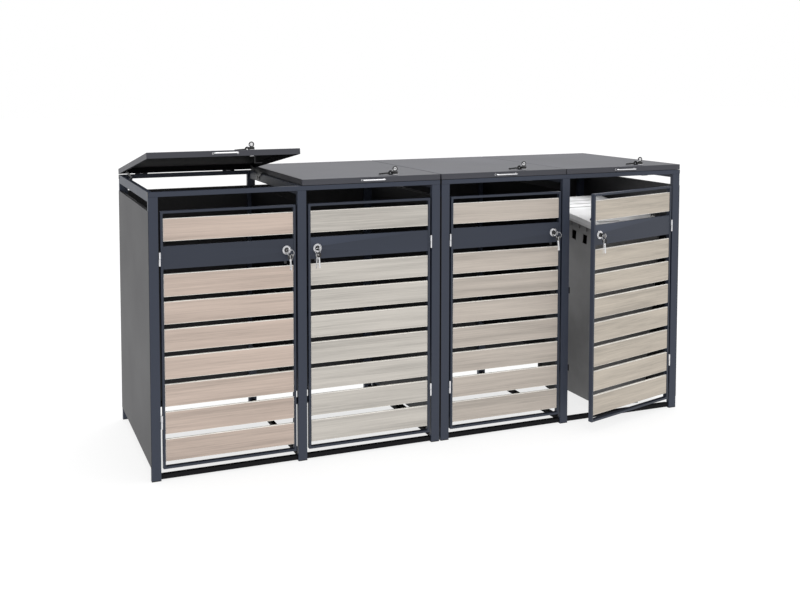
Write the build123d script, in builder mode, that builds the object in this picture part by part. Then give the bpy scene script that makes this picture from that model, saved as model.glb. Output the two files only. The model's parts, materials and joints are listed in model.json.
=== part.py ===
from build123d import *
import os
from math import cos, radians, sin

os.makedirs("parts", exist_ok=True)

# A bin station of two double units. The origin is on the ground, in the middle of
# the footprint: +X runs along the row of bays, +Y from the doors to the back, +Z up.

# ---------------------------------------------------------------- overall sizes
unit_count = 2
unit_width = 1317.0
unit_gap = 6.0
depth = 800.0
frame_height = 1197.0

# ------------------------------------------------------------------ frame tubes
tube_wall = 1.5
post_width = 40.0
post_depth = 20.0
top_rail = 20.0
depth_rail_width = 20.0
depth_rail_height = 40.0
sill = 20.0
sill_bottom = 4.0
sill_setback = 8.0
base_rail = 20.0
cap_plate = 3.0
cap_plug = 15.0
cap_clearance = 0.2

# -------------------------------------------------------------- sheet panels
skin = 1.2
panel_bottom = 57.0
back_bottom = 40.0
partition_bottom = 300.0
vent_slot = 37.0
panel_flange = 15.0

# -------------------------------------------------------------------- doors
door_side_gap = 9.0
door_bottom = 48.0
door_top_gap = 59.0
stile_width = 10.0
stile_depth = 20.0
slat_count = 9
lock_slat = 1
slat_gap = 20.4
slat_thickness = 12.0
slat_recess = 1.5
slat_edge = 1.0
ajar_angle = 15.0

# ------------------------------------------------------------- door hinges
hinge_radius = 4.0
hinge_pin_radius = 2.5
pin_clearance = 0.5
hinge_fit = 0.05
hinge_half = 27.0
hinge_washer = 1.0
hinge_forward = 2.0
hinge_leaf = 1.5
hinge_leaf_reach = 14.0
upper_hinge_height = 922.0
lower_hinge_height = 246.0

# -------------------------------------------------------------- cam locks
lock_inset = 30.6
lock_flange_radius = 15.0
lock_flange = 4.0
lock_barrel_radius = 9.0
lock_hole_clearance = 0.3
lock_nut_radius = 12.0
lock_nut = 5.0
plug_radius = 5.5
plug_fit = 0.05
cam_width = 12.0
cam_thickness = 2.0
door_cam_reach = 62.0
door_cam_clearance = 0.6
key_thickness = 2.2
key_neck = 14.0
key_neck_width = 8.0
key_bow_overlap = 2.0
key_bow_radius = 11.0
key_hole_radius = 3.5

# --------------------------------------------------------------------- lids
lid_gap = 3.0
lid_clearance = 2.0
lid_skirt = 25.0
raised_angle = 9.6
lid_hinge_radius = 4.0
lid_hinge_stand = 0.5
lid_hinge_fit = 0.05
lid_hinge_length = 60.0
lid_hinge_inset = 110.0
lid_knuckle_gap = 0.4
lid_leaf_drop = 16.0
lid_web_gap = 0.6
lid_pin_radius = 2.0
lid_lock_from_front = 50.0
lid_lock_from_middle = 128.0
lid_barrel = 24.0
lid_cam_clearance = 0.4
lid_cam_crank = 12.0
lid_cam_reach = 42.0
lid_cam_under_rail = 5.0
handle_span = 106.0
handle_reach = 20.0
handle_radius = 3.0
handle_bend = 8.0
handle_foot = 1.5
handle_foot_radius = 4.5
lid_corner = 2.5
lid_top_round = 2.0

# --------------------------------------------------------------- lid stays
stay_lid_arm = 70.0
stay_lid_rise = 12.0
stay_frame_arm = 179.0
stay_width = 14.0
stay_thickness = 2.0
stay_pivot_radius = 3.0
stay_fit = 0.08
stay_layer_gap = 0.4
stay_plate = 2.0
stay_plate_length = 54.0
stay_plate_height = 26.0
stay_foot = 22.0

# ------------------------------------------------------- door stops and bolts
stop_reach = 20.0
stop_height = 30.0
stop_thickness = 2.0
stop_clearance = 0.8
stop_root = 10.0
stop_heights = (246.0, 622.0)
bolt_radius = 4.0
bolt_hole_clearance = 0.4
bolt_head = 5.3
bolt_head_radius = 7.5
bolt_shares = (-0.4, -0.025, 0.4)
spacer_radius = 10.0

# ------------------------------------------------------------ wheeled bin
bin_from_right_post = 8.0
bin_from_front = 26.0
bin_width = 430.0
bin_depth = 548.0
bin_front_height = 926.0
bin_slope = 7.0
bin_wall = 3.5
bin_floor_height = 45.0
bin_foot_depth = 40.0
bin_foot_width = 260.0
bin_rim = 10.0
bin_rim_height = 14.0
bin_corner = 26.0
bin_side_taper = 34.0
bin_front_taper = 70.0
bin_back_taper = 20.0
bin_lid_skirt = 10.0
bin_lid_crown = 18.0
bin_lid_gap = 1.0
bin_crown_taper = 30.0
bin_pin_radius = 6.0
bin_pin_fit = 0.08
bin_knuckle = 34.0
bin_arm = 6.0
bin_hinge_inset = 90.0
bin_knuckle_radius = 10.8
bin_slot_width = 34.0
bin_slot_height = 46.0
bin_slot_top = 65.0
bin_slot_places = (88.0, 177.0)
bin_slot_depth = 22.0
wheel_radius = 100.0
wheel_width = 44.0
wheel_side_gap = 4.0
wheel_arch_gap = 12.0
tyre_height = 22.0
wheel_dish = 8.0
hub_radius = 24.0
axle_radius = 10.0
axle_fit = 0.08
axle_lug = 12.0
axle_from_back = 70.0

# --------------------------------------------------------------- derived places
station_width = unit_count * unit_width + (unit_count - 1) * unit_gap
front = -depth / 2
frame_back = depth / 2 - skin
between_posts = frame_back - front - 2 * post_depth
post_top = frame_height - top_rail
panel_top = frame_height - depth_rail_height - vent_slot
bay_count = 2 * unit_count
bolt_places = [share * depth for share in bolt_shares]
middle_post = unit_width / 2 - post_width / 2
bay_width = middle_post - skin - post_width
door_width = bay_width - 2 * door_side_gap
door_height = post_top - door_top_gap - door_bottom
slat_height = (door_height - 2 * stile_width - (slat_count + 1) * slat_gap) / slat_count
lid_width = (unit_width - lid_gap) / 2
lid_bottom = frame_height + lid_clearance
lid_hinge_y = depth / 2 + lid_hinge_radius + lid_hinge_stand
lid_hinge_z = lid_bottom
MIN = (Align.MIN, Align.MIN, Align.MIN)
MIDDLE_X = (Align.CENTER, Align.MIN, Align.MIN)


def save(piece, name):
    """Label a finished piece and write it as its own STEP file."""
    piece.part.label = name
    export_step(piece.part, f"parts/{name}.step")


def unit_left(unit):
    """X of the left outer face of a double unit."""
    return -station_width / 2 + unit * (unit_width + unit_gap)


def bay_left(bay):
    """X of the left edge of a bay's door opening."""
    inner = skin + post_width if bay % 2 == 0 else middle_post + post_width
    return unit_left(bay // 2) + inner


def opens_left(bay):
    """Bays 1 and 3 hang their doors on the left, bays 2 and 4 on the right."""
    return bay % 2 == 0


def post_lefts():
    """X of the left face of every front or back post."""
    places = []
    for unit in range(unit_count):
        start = unit_left(unit)
        last = unit_width - skin - post_width
        places += [start + skin, start + middle_post, start + last]
    return places


def depth_rail_lefts():
    """X of the left face of every rail that runs from front to back."""
    places = []
    for unit in range(unit_count):
        start = unit_left(unit)
        middle = (unit_width - depth_rail_width) / 2
        last = unit_width - skin - depth_rail_width
        places += [start + skin, start + middle, start + last]
    return places


def bar(x, y, z, wide, deep, high, mode=Mode.ADD):
    """A block given by its lowest corner and its three sizes."""
    with Locations((x, y, z)):
        Box(wide, deep, high, align=MIN, mode=mode)


def tube_x(x, y, z, length, deep, high):
    """A rectangular tube along X, open at its ends."""
    wall = tube_wall
    bar(x, y, z, length, deep, high)
    bar(x, y + wall, z + wall, length, deep - 2 * wall, high - 2 * wall, Mode.SUBTRACT)


def tube_y(x, y, z, wide, length, high):
    """A rectangular tube along Y, open at its ends."""
    wall = tube_wall
    bar(x, y, z, wide, length, high)
    bar(x + wall, y, z + wall, wide - 2 * wall, length, high - 2 * wall, Mode.SUBTRACT)


def tube_z(x, y, z, wide, deep, length):
    """A rectangular tube along Z, open at its ends."""
    wall = tube_wall
    bar(x, y, z, wide, deep, length)
    bar(x + wall, y + wall, z, wide - 2 * wall, deep - 2 * wall, length, Mode.SUBTRACT)


def rod(radius, length, at, turn=(0, 0, 0), mode=Mode.ADD):
    """A round rod centred on a point: turn (90, 0, 0) lays it along Y."""
    with Locations(at):
        Cylinder(radius, length, rotation=turn, mode=mode)


ALONG_X = (0, 90, 0)
ALONG_Y = (90, 0, 0)
ALONG_Z = (0, 0, 0)


# ------------------------------------------------------------------------ frame
def make_posts(name, y):
    """Six upright tubes that stand on their plastic caps."""
    with BuildPart() as posts:
        for x in post_lefts():
            tube_z(x, y, cap_plate, post_width, post_depth, post_top - cap_plate)
    save(posts, name)


make_posts("front_posts", front)
make_posts("back_posts", frame_back - post_depth)

with BuildPart() as top_rails:
    for unit in range(unit_count):
        for y in (front, frame_back - top_rail):
            rail_length = unit_width - 2 * skin
            tube_x(unit_left(unit) + skin, y, post_top, rail_length, top_rail, top_rail)
save(top_rails, "top_rails")

depth_rail_start = front + top_rail
depth_rail_length = frame_back - front - 2 * top_rail
depth_rail_bottom = frame_height - depth_rail_height
depth_rail_middle = frame_height - depth_rail_height / 2
joined_rails = depth_rail_lefts()[2::3][:-1] + depth_rail_lefts()[3::3]

with BuildPart() as depth_rails:
    for x in depth_rail_lefts():
        tube_y(x, depth_rail_start, depth_rail_bottom, depth_rail_width, depth_rail_length, depth_rail_height)
    for x in joined_rails:
        for y in bolt_places:
            centre = (x + depth_rail_width / 2, y, depth_rail_middle)
            rod(bolt_radius + bolt_hole_clearance, 2 * depth_rail_width, centre, ALONG_X, Mode.SUBTRACT)
save(depth_rails, "depth_rails")

with BuildPart() as base_rails:
    for place, x in enumerate(depth_rail_lefts()):
        outermost = place in (0, 3 * unit_count - 1)
        low = panel_bottom if outermost else sill_bottom
        tube_y(x, front + post_depth, low, depth_rail_width, between_posts, base_rail)
    for bay in range(bay_count):
        tube_x(bay_left(bay), front + sill_setback, sill_bottom, bay_width, sill, sill)
        tube_x(bay_left(bay), frame_back - post_depth, back_bottom, bay_width, base_rail, base_rail)
save(base_rails, "base_rails")


# Plastic plugs: one under every post and one in each end of the top rails.
def post_cap(x, y):
    """A foot plate with a plug that pushes up into the post."""
    inner = tube_wall + cap_clearance
    bar(x, y, 0, post_width, post_depth, cap_plate)
    bar(x + inner, y + inner, cap_plate, post_width - 2 * inner, post_depth - 2 * inner, cap_plug)


def rail_cap(x, y, side):
    """A thin end plate with a plug that pushes into the end of a top rail."""
    inner = tube_wall + cap_clearance
    plug_start = x + skin if side < 0 else x - cap_plug
    bar(x, y, post_top, skin, top_rail, top_rail)
    plug = top_rail - 2 * inner
    bar(plug_start, y + inner, post_top + inner, cap_plug, plug, plug)


with BuildPart() as tube_caps:
    for y in (front, frame_back - post_depth):
        for x in post_lefts():
            post_cap(x, y)
    for y in (front, frame_back - top_rail):
        for unit in range(unit_count):
            rail_cap(unit_left(unit), y, -1)
            rail_cap(unit_left(unit) + unit_width - skin, y, 1)
save(tube_caps, "tube_caps")


# ----------------------------------------------------------------- sheet panels
panel_height = panel_top - panel_bottom

with BuildPart() as side_panels:
    for unit in range(unit_count):
        for side in (-1, 1):
            outer = unit_left(unit) if side < 0 else unit_left(unit) + unit_width - skin
            fold = outer if side < 0 else outer + skin - panel_flange
            bar(outer, front, panel_bottom, skin, depth, panel_height)
            bar(fold, front + post_depth, panel_top - skin, panel_flange, between_posts, skin)
save(side_panels, "side_panels")

with BuildPart() as partition_panels:
    for unit in range(unit_count):
        middle = unit_left(unit) + (unit_width - skin) / 2
        high = panel_top - partition_bottom
        bar(middle, front + post_depth, partition_bottom, skin, between_posts, high)
save(partition_panels, "partition_panels")

with BuildPart() as back_panels:
    for unit in range(unit_count):
        inside = unit_width - 2 * skin
        bar(unit_left(unit) + skin, frame_back, back_bottom, inside, skin, panel_top - back_bottom)
    for bay in range(bay_count):
        bar(bay_left(bay), frame_back - panel_flange, panel_top - skin, bay_width, panel_flange, skin)
save(back_panels, "back_panels")


# ------------------------------------------------------- bolts between the units
with BuildPart() as joining_bolts:
    for joint in range(unit_count - 1):
        centre_x = unit_left(joint) + unit_width + unit_gap / 2
        half_grip = unit_gap / 2 + skin + depth_rail_width
        for y in bolt_places:
            centre = (centre_x, y, depth_rail_middle)
            rod(bolt_radius, 2 * (half_grip + bolt_head), centre, ALONG_X)
            rod(spacer_radius, unit_gap + 2 * skin, centre, ALONG_X)
            for side in (-1, 1):
                head_x = centre_x + side * (half_grip + bolt_head / 2)
                with BuildSketch(Plane(origin=(head_x, y, depth_rail_middle), z_dir=(1, 0, 0))):
                    RegularPolygon(bolt_head_radius, 6)
                extrude(amount=bolt_head / 2, both=True)
save(joining_bolts, "joining_bolts")


# ----------------------------------------------------------------- hinge places
def hinge_x(bay):
    """X of a door's hinge axis: the middle of the gap beside its post."""
    left = bay_left(bay) + door_side_gap / 2
    right = bay_left(bay) + bay_width - door_side_gap / 2
    return left if opens_left(bay) else right


hinge_y = front - hinge_forward


def door_frame(bay):
    """The door's own frame: its lower left front corner, turned if it stands ajar."""
    corner = Location((bay_left(bay) + door_side_gap, front, door_bottom))
    angle = ajar_angle if bay == bay_count - 1 else 0.0
    to_axis = Location((hinge_x(bay), hinge_y, 0))
    turn = to_axis * Location((0, 0, 0), (0, 0, angle)) * to_axis.inverse()
    return Plane(turn * corner)


def lid_left(bay):
    """X of the left edge of a lid."""
    return unit_left(bay // 2) + (bay % 2) * (lid_width + lid_gap)


def lid_frame(bay):
    """The lid's own frame: its lower left front corner, turned if it is raised."""
    corner = Location((lid_left(bay), front, lid_bottom))
    angle = -raised_angle if bay == 0 else 0.0
    to_axis = Location((0, lid_hinge_y, lid_hinge_z))
    turn = to_axis * Location((0, 0, 0), (angle, 0, 0)) * to_axis.inverse()
    return Plane(turn * corner)


def within(frame, plane):
    """A plane given in a door's or a lid's own frame."""
    return Plane(frame.location * plane.location)


# ------------------------------------------------- fixed halves of the hinges
def leaf_side(bay):
    """-1 where the hinge's post is on its left, +1 where it is on its right."""
    return -1 if opens_left(bay) else 1


with BuildPart() as door_hinge_posts:
    for bay in range(bay_count):
        for height in (upper_hinge_height, lower_hinge_height):
            low = height - hinge_washer / 2 - hinge_half
            post_face = hinge_x(bay) + leaf_side(bay) * door_side_gap / 2
            leaf_x = post_face if opens_left(bay) else post_face - hinge_leaf
            middle = (hinge_x(bay), hinge_y, low + hinge_half / 2)
            rod(hinge_radius, hinge_half, middle)
            bar(leaf_x, hinge_y, low, hinge_leaf, hinge_leaf_reach, hinge_half)
            rod(hinge_pin_radius, hinge_half, middle, ALONG_Z, Mode.SUBTRACT)
save(door_hinge_posts, "door_hinge_posts")


def lid_hinge_middles(bay):
    """X of the middle of each of a lid's two hinges."""
    left = lid_left(bay) + lid_hinge_inset
    right = lid_left(bay) + lid_width - lid_hinge_inset
    return (left, right)


knuckle = lid_hinge_length / 3
lid_web_drop = hinge_leaf + lid_web_gap

with BuildPart() as lid_hinge_backs:
    for bay in range(bay_count):
        for x in lid_hinge_middles(bay):
            for side in (-1, 1):
                middle = (x + side * knuckle, lid_hinge_y, lid_hinge_z)
                leaf_x = middle[0] - knuckle / 2
                leaf_depth = lid_hinge_y - frame_back
                rod(lid_hinge_radius, knuckle, middle, ALONG_X)
                leaf_height = lid_leaf_drop - lid_web_drop + hinge_leaf
                bar(leaf_x, frame_back, lid_hinge_z - lid_leaf_drop, knuckle, hinge_leaf, leaf_height)
                bar(leaf_x, frame_back, lid_hinge_z - lid_web_drop, knuckle, leaf_depth, hinge_leaf)
                rod(lid_pin_radius, knuckle, middle, ALONG_X, Mode.SUBTRACT)
save(lid_hinge_backs, "lid_hinge_backs")

with BuildPart() as hinge_pins:
    for bay in range(bay_count):
        for height in (upper_hinge_height, lower_hinge_height):
            axis_point = (hinge_x(bay), hinge_y, height)
            rod(hinge_pin_radius, 2 * hinge_half + hinge_washer - pin_clearance, axis_point)
            rod(hinge_radius, hinge_washer - pin_clearance, axis_point)
        for x in lid_hinge_middles(bay):
            rod(lid_pin_radius, lid_hinge_length, (x, lid_hinge_y, lid_hinge_z), ALONG_X)
save(hinge_pins, "hinge_pins")


# ------------------------------------------------------------- door stop tabs
with BuildPart() as door_stops:
    for bay in range(bay_count):
        lock_edge = bay_left(bay) + bay_width if opens_left(bay) else bay_left(bay)
        tab_x = lock_edge - stop_reach if opens_left(bay) else lock_edge
        behind_door = front + stile_depth + stop_clearance
        behind_post = front + post_depth
        web_start = min(behind_door, behind_post)
        web_end = max(behind_door, behind_post) + stop_thickness
        web_x = lock_edge - stop_thickness if opens_left(bay) else lock_edge
        root_x = lock_edge if opens_left(bay) else lock_edge - stop_root
        for height in stop_heights:
            bar(tab_x, behind_door, height, stop_reach, stop_thickness, stop_height)
            bar(web_x, web_start, height, stop_thickness, web_end - web_start, stop_height)
            bar(root_x, behind_post, height, stop_root, web_end - behind_post, stop_height)
save(door_stops, "door_stops")


# -------------------------------------------------------------------------- doors
door_hinge_local_y = -hinge_forward
slat_width = door_width - 2 * stile_width
slat_middle_y = slat_recess + slat_thickness / 2
nut_start = slat_recess + slat_thickness
plug_front = slat_recess - lock_flange
lock_hole_radius = lock_barrel_radius + lock_hole_clearance
door_cam_y = stile_depth + door_cam_clearance
bow_middle = key_neck + key_bow_radius - key_bow_overlap


def slat_middle_z(row):
    """Height of the middle of a slat above the door's lower edge, row 0 on top."""
    pitch = slat_height + slat_gap
    return door_height - stile_width - slat_gap - slat_height / 2 - row * pitch


def lock_x(bay):
    """The lock's place across the door: near the edge away from the hinges."""
    inset = stile_width + lock_inset
    return door_width - inset if opens_left(bay) else inset


def slat_profiles(frame, rows):
    """Side profiles of some of a door's slats, standing on the first stile."""
    with BuildSketch(within(frame, Plane.YZ.offset(stile_width))) as profiles:
        for row in rows:
            with Locations((slat_middle_y, slat_middle_z(row))):
                RectangleRounded(slat_thickness, slat_height, slat_edge)
    return profiles.sketch


def make_door_frame(bay):
    """Two stiles and two rails, welded at the corners."""
    with BuildPart(door_frame(bay)) as frame:
        for x in (0, door_width - stile_width):
            bar(x, 0, 0, stile_width, stile_depth, door_height)
        for z in (0, door_height - stile_width):
            bar(stile_width, 0, z, slat_width, stile_depth, stile_width)
    save(frame, f"door_{bay + 1}_frame")


def make_door_slats(bay):
    """The wood-faced slats between the stiles, all but the lock panel."""
    rows = [row for row in range(slat_count) if row != lock_slat]
    with BuildPart() as slats:
        extrude(slat_profiles(door_frame(bay), rows), amount=slat_width)
    save(slats, f"door_{bay + 1}_slats")


def make_lock_panel(bay):
    """The painted slat that carries the lock."""
    lock_z = slat_middle_z(lock_slat)
    with BuildPart(door_frame(bay)) as panel:
        extrude(slat_profiles(door_frame(bay), [lock_slat]), amount=slat_width)
        rod(lock_hole_radius, 4 * slat_thickness, (lock_x(bay), 0, lock_z), ALONG_Y, Mode.SUBTRACT)
    save(panel, f"door_{bay + 1}_lock_panel")


def make_door_fittings(bay):
    """The door's halves of its two hinges, and the body of its cam lock."""
    hinge_local_x = -door_side_gap / 2 if opens_left(bay) else door_width + door_side_gap / 2
    leaf_x = -hinge_leaf if opens_left(bay) else door_width
    lock_z = slat_middle_z(lock_slat)
    with BuildPart(door_frame(bay)) as fittings:
        for height in (upper_hinge_height, lower_hinge_height):
            low = height - door_bottom + hinge_washer / 2
            middle = (hinge_local_x, door_hinge_local_y, low + hinge_half / 2)
            rod(hinge_radius, hinge_half, middle)
            bar(leaf_x, door_hinge_local_y, low, hinge_leaf, hinge_leaf_reach, hinge_half)
            rod(hinge_pin_radius + hinge_fit, hinge_half, middle, ALONG_Z, Mode.SUBTRACT)
        x = lock_x(bay)
        barrel = slat_thickness + lock_nut
        rod(lock_flange_radius, lock_flange, (x, slat_recess - lock_flange / 2, lock_z), ALONG_Y)
        rod(lock_barrel_radius, barrel, (x, slat_recess + barrel / 2, lock_z), ALONG_Y)
        rod(lock_nut_radius, lock_nut, (x, nut_start + lock_nut / 2, lock_z), ALONG_Y)
        rod(plug_radius + plug_fit, 4 * barrel, (x, 0, lock_z), ALONG_Y, Mode.SUBTRACT)
    save(fittings, f"door_{bay + 1}_fittings")


def make_door_key(bay):
    """The plug that turns in the lock, with its cam behind and the key in front."""
    x = lock_x(bay)
    z = slat_middle_z(lock_slat)
    with BuildPart(door_frame(bay)) as key:
        plug_length = door_cam_y - plug_front
        rod(plug_radius, plug_length, (x, plug_front + plug_length / 2, z), ALONG_Y)
        cam_length = door_cam_reach + cam_width / 2
        bar(x - cam_width / 2, door_cam_y, z - door_cam_reach, cam_width, cam_thickness, cam_length)
        rod(plug_radius, cam_thickness, (x, door_cam_y + cam_thickness / 2, z), ALONG_Y)
        neck_low = z - key_neck_width / 2
        bar(x - key_thickness / 2, plug_front - key_neck, neck_low, key_thickness, key_neck, key_neck_width)
        rod(key_bow_radius, key_thickness, (x, plug_front - bow_middle, z), ALONG_X)
        rod(key_hole_radius, 4 * key_thickness, (x, plug_front - bow_middle, z), ALONG_X, Mode.SUBTRACT)
    save(key, f"door_{bay + 1}_key")


for bay in range(bay_count):
    make_door_frame(bay)
    make_door_slats(bay)
    make_lock_panel(bay)
    make_door_fittings(bay)
    make_door_key(bay)


# --------------------------------------------------------------------------- lids
lid_axis_y = lid_hinge_y - front
lid_top = lid_skirt
lid_lock_x = lid_width / 2 + lid_lock_from_middle
lid_plug_bottom = lid_top - lid_barrel - lid_cam_clearance
lid_cam_tip = post_top - lid_bottom - lid_cam_under_rail
stay_pivot_y = lid_axis_y - stay_lid_arm
stay_layer = stay_thickness + stay_layer_gap
lower_arm_start = stay_plate + stay_layer_gap
upper_arm_start = lower_arm_start + stay_layer
lid_plate_start = upper_arm_start + stay_layer
frame_pivot_y = lid_hinge_y - stay_frame_arm
frame_pivot_z = depth_rail_middle


def stay_sides(bay):
    """The rail face on each side of a bay, with the way that leads inward."""
    lefts = depth_rail_lefts()
    first = 3 * (bay // 2) + bay % 2
    return ((lefts[first] + depth_rail_width, 1), (lefts[first + 1], -1))


def layer(face, inward, start, thickness):
    """Lowest X of a plate that lies start in from a rail's face."""
    return face + start if inward > 0 else face - start - thickness


def make_lid_panel(bay):
    """A folded sheet-metal tray, open below."""
    with BuildPart() as tray:
        frame = lid_frame(bay)
        middle = within(frame, Plane.XY)
        with BuildSketch(middle):
            with Locations((lid_width / 2, depth / 2)):
                RectangleRounded(lid_width, depth, lid_corner)
        extrude(amount=lid_top)
        top_face = faces().sort_by(Axis(frame.origin, frame.z_dir))[-1]
        fillet(top_face.edges(), lid_top_round)
        with BuildSketch(middle):
            with Locations((lid_width / 2, depth / 2)):
                RectangleRounded(lid_width - 2 * skin, depth - 2 * skin, lid_corner - skin)
        extrude(amount=lid_top - skin, mode=Mode.SUBTRACT)
        with BuildSketch(middle):
            with Locations((lid_lock_x, lid_lock_from_front)):
                Circle(lock_hole_radius)
        extrude(amount=2 * lid_top, mode=Mode.SUBTRACT)
    save(tray, f"lid_{bay + 1}_panel")


def make_lid_fittings(bay):
    """Bow handle, lock body, hinge knuckles and stay brackets that move with a lid."""
    frame = lid_frame(bay)
    with BuildPart(frame) as fittings:
        # Bow handle on the front edge.
        for side in (-1, 1):
            foot_x = lid_width / 2 + side * handle_span / 2
            rod(handle_foot_radius, handle_foot, (foot_x, -handle_foot / 2, lid_top / 2), ALONG_Y)
        start = lid_width / 2 - handle_span / 2
        end = lid_width / 2 + handle_span / 2
        corners = ((start, 0), (start, -handle_reach), (end, -handle_reach), (end, 0))
        with BuildLine(within(frame, Plane.XY.offset(lid_top / 2))) as bow:
            FilletPolyline(*corners, radius=handle_bend)
        foot_plane = within(frame, Plane(origin=(start, 0, lid_top / 2), z_dir=(0, -1, 0)))
        with BuildSketch(foot_plane):
            Circle(handle_radius)
        sweep(path=bow.line)
        # Lock body: a flange on top of the lid, a barrel through it and a nut below.
        lock = (lid_lock_x, lid_lock_from_front)
        rod(lock_flange_radius, lock_flange, (*lock, lid_top + lock_flange / 2))
        rod(lock_barrel_radius, lid_barrel, (*lock, lid_top - lid_barrel / 2))
        rod(lock_nut_radius, lock_nut, (*lock, lid_top - skin - lock_nut / 2))
        rod(plug_radius + plug_fit, 4 * lid_barrel, (*lock, lid_top), ALONG_Z, Mode.SUBTRACT)
        # Middle knuckle of each hinge.
        for x in lid_hinge_middles(bay):
            local_x = x - lid_left(bay)
            length = knuckle - 2 * lid_knuckle_gap
            rod(lid_hinge_radius, length, (local_x, lid_axis_y, 0), ALONG_X)
            bar(local_x - length / 2, depth, 0, length, hinge_leaf, lid_leaf_drop)
            bar(local_x - length / 2, depth, 0, length, lid_axis_y - depth, hinge_leaf)
            rod(lid_pin_radius + lid_hinge_fit, length, (local_x, lid_axis_y, 0), ALONG_X, Mode.SUBTRACT)
        # Stay brackets under the sheet, each with the stud its arm turns on.
        for face, inward in stay_sides(bay):
            local_face = face - lid_left(bay)
            plate_x = layer(local_face, inward, lid_plate_start, stay_plate)
            low = stay_lid_rise - stay_width / 2 - stay_plate
            high = lid_top - skin
            bar(plate_x, stay_pivot_y - stay_width, low, stay_plate, 2 * stay_width, high - low)
            foot_x = layer(local_face, inward, lid_plate_start, stay_foot)
            bar(foot_x, stay_pivot_y - stay_width, high - stay_plate, stay_foot, 2 * stay_width, stay_plate)
            stud = lid_plate_start + stay_plate - upper_arm_start + stay_layer_gap
            stud_x = layer(local_face, inward, upper_arm_start - stay_layer_gap, stud)
            rod(stay_pivot_radius, stud, (stud_x + stud / 2, stay_pivot_y, stay_lid_rise), ALONG_X)
    save(fittings, f"lid_{bay + 1}_fittings")


def make_lid_key(bay):
    """The plug of a lid's lock, its cranked cam below and the key standing in it."""
    x = lid_lock_x
    y = lid_lock_from_front
    plug_top = lid_top + lock_flange
    cam_top = lid_plug_bottom
    with BuildPart(lid_frame(bay)) as key:
        rod(plug_radius, plug_top - cam_top, (x, y, (plug_top + cam_top) / 2))
        cam_y = y - cam_width / 2
        hub_length = cam_width / 2 + lid_cam_crank
        bar(x - cam_width / 2, cam_y, cam_top - cam_thickness, hub_length, cam_width, cam_thickness)
        leg_x = x + lid_cam_crank - cam_thickness
        leg_low = lid_cam_tip - cam_thickness
        bar(leg_x, cam_y, leg_low, cam_thickness, cam_width, cam_top - leg_low)
        bar(leg_x, cam_y, leg_low, x + lid_cam_reach - leg_x, cam_width, cam_thickness)
        bar(x - key_neck_width / 2, y - key_thickness / 2, plug_top, key_neck_width, key_thickness, key_neck)
        rod(key_bow_radius, key_thickness, (x, y, plug_top + bow_middle), ALONG_Y)
        rod(key_hole_radius, 4 * key_thickness, (x, y, plug_top + bow_middle), ALONG_Y, Mode.SUBTRACT)
    save(key, f"lid_{bay + 1}_key")


for bay in range(bay_count):
    make_lid_panel(bay)
    make_lid_fittings(bay)
    make_lid_key(bay)


# --------------------------------------------------------------------------- stays
# Each stay is two flat arms in a parallelogram with the lid and the frame: the lower
# arm swings as the lid does, and the upper arm keeps its direction.
def lid_pivot(bay):
    """Y and Z of the pivot that a stay has on its lid, at the lid's rest angle."""
    angle = radians(raised_angle if bay == 0 else 0.0)
    y = -stay_lid_arm * cos(angle) + stay_lid_rise * sin(angle)
    z = stay_lid_arm * sin(angle) + stay_lid_rise * cos(angle)
    return lid_hinge_y + y, lid_hinge_z + z


def knee(bay):
    """Y and Z of the pivot between a stay's two arms."""
    y, z = lid_pivot(bay)
    return y + frame_pivot_y - lid_hinge_y, z + frame_pivot_z - lid_hinge_z


def flat_arm(x, first, second, holes):
    """A flat arm with round ends between two points given as Y and Z."""
    middle = ((first[0] + second[0]) / 2, (first[1] + second[1]) / 2)
    with BuildSketch(Plane.YZ.offset(x)) as outline:
        SlotCenterPoint(middle, second, stay_width)
        for point, pierced in zip((first, second), holes):
            if pierced:
                with Locations(point):
                    Circle(stay_pivot_radius + stay_fit, mode=Mode.SUBTRACT)
    extrude(outline.sketch, amount=stay_thickness)


def make_stay_arms(bay):
    """The lower arms with the knee rivet, and the upper arms, on both sides."""
    with BuildPart() as lower:
        for face, inward in stay_sides(bay):
            x = layer(face, inward, lower_arm_start, stay_thickness)
            flat_arm(x, (frame_pivot_y, frame_pivot_z), knee(bay), (True, False))
            rivet = stay_thickness + stay_layer + stay_layer_gap
            rivet_x = layer(face, inward, lower_arm_start, rivet) + rivet / 2
            rod(stay_pivot_radius, rivet, (rivet_x, *knee(bay)), ALONG_X)
    save(lower, f"lid_{bay + 1}_stay_lower_arms")
    with BuildPart() as upper:
        for face, inward in stay_sides(bay):
            x = layer(face, inward, upper_arm_start, stay_thickness)
            flat_arm(x, knee(bay), lid_pivot(bay), (True, True))
    save(upper, f"lid_{bay + 1}_stay_upper_arms")


for bay in range(bay_count):
    make_stay_arms(bay)

with BuildPart() as stay_frame_brackets:
    for bay in range(bay_count):
        for face, inward in stay_sides(bay):
            plate_x = layer(face, inward, 0, stay_plate)
            plate_y = frame_pivot_y - stay_plate_length / 2
            plate_z = frame_pivot_z - stay_plate_height / 2
            bar(plate_x, plate_y, plate_z, stay_plate, stay_plate_length, stay_plate_height)
            stud = lower_arm_start + stay_thickness + stay_layer_gap / 2
            stud_x = layer(face, inward, 0, stud) + stud / 2
            rod(stay_pivot_radius, stud, (stud_x, frame_pivot_y, frame_pivot_z), ALONG_X)
save(stay_frame_brackets, "stay_frame_brackets")


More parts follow.
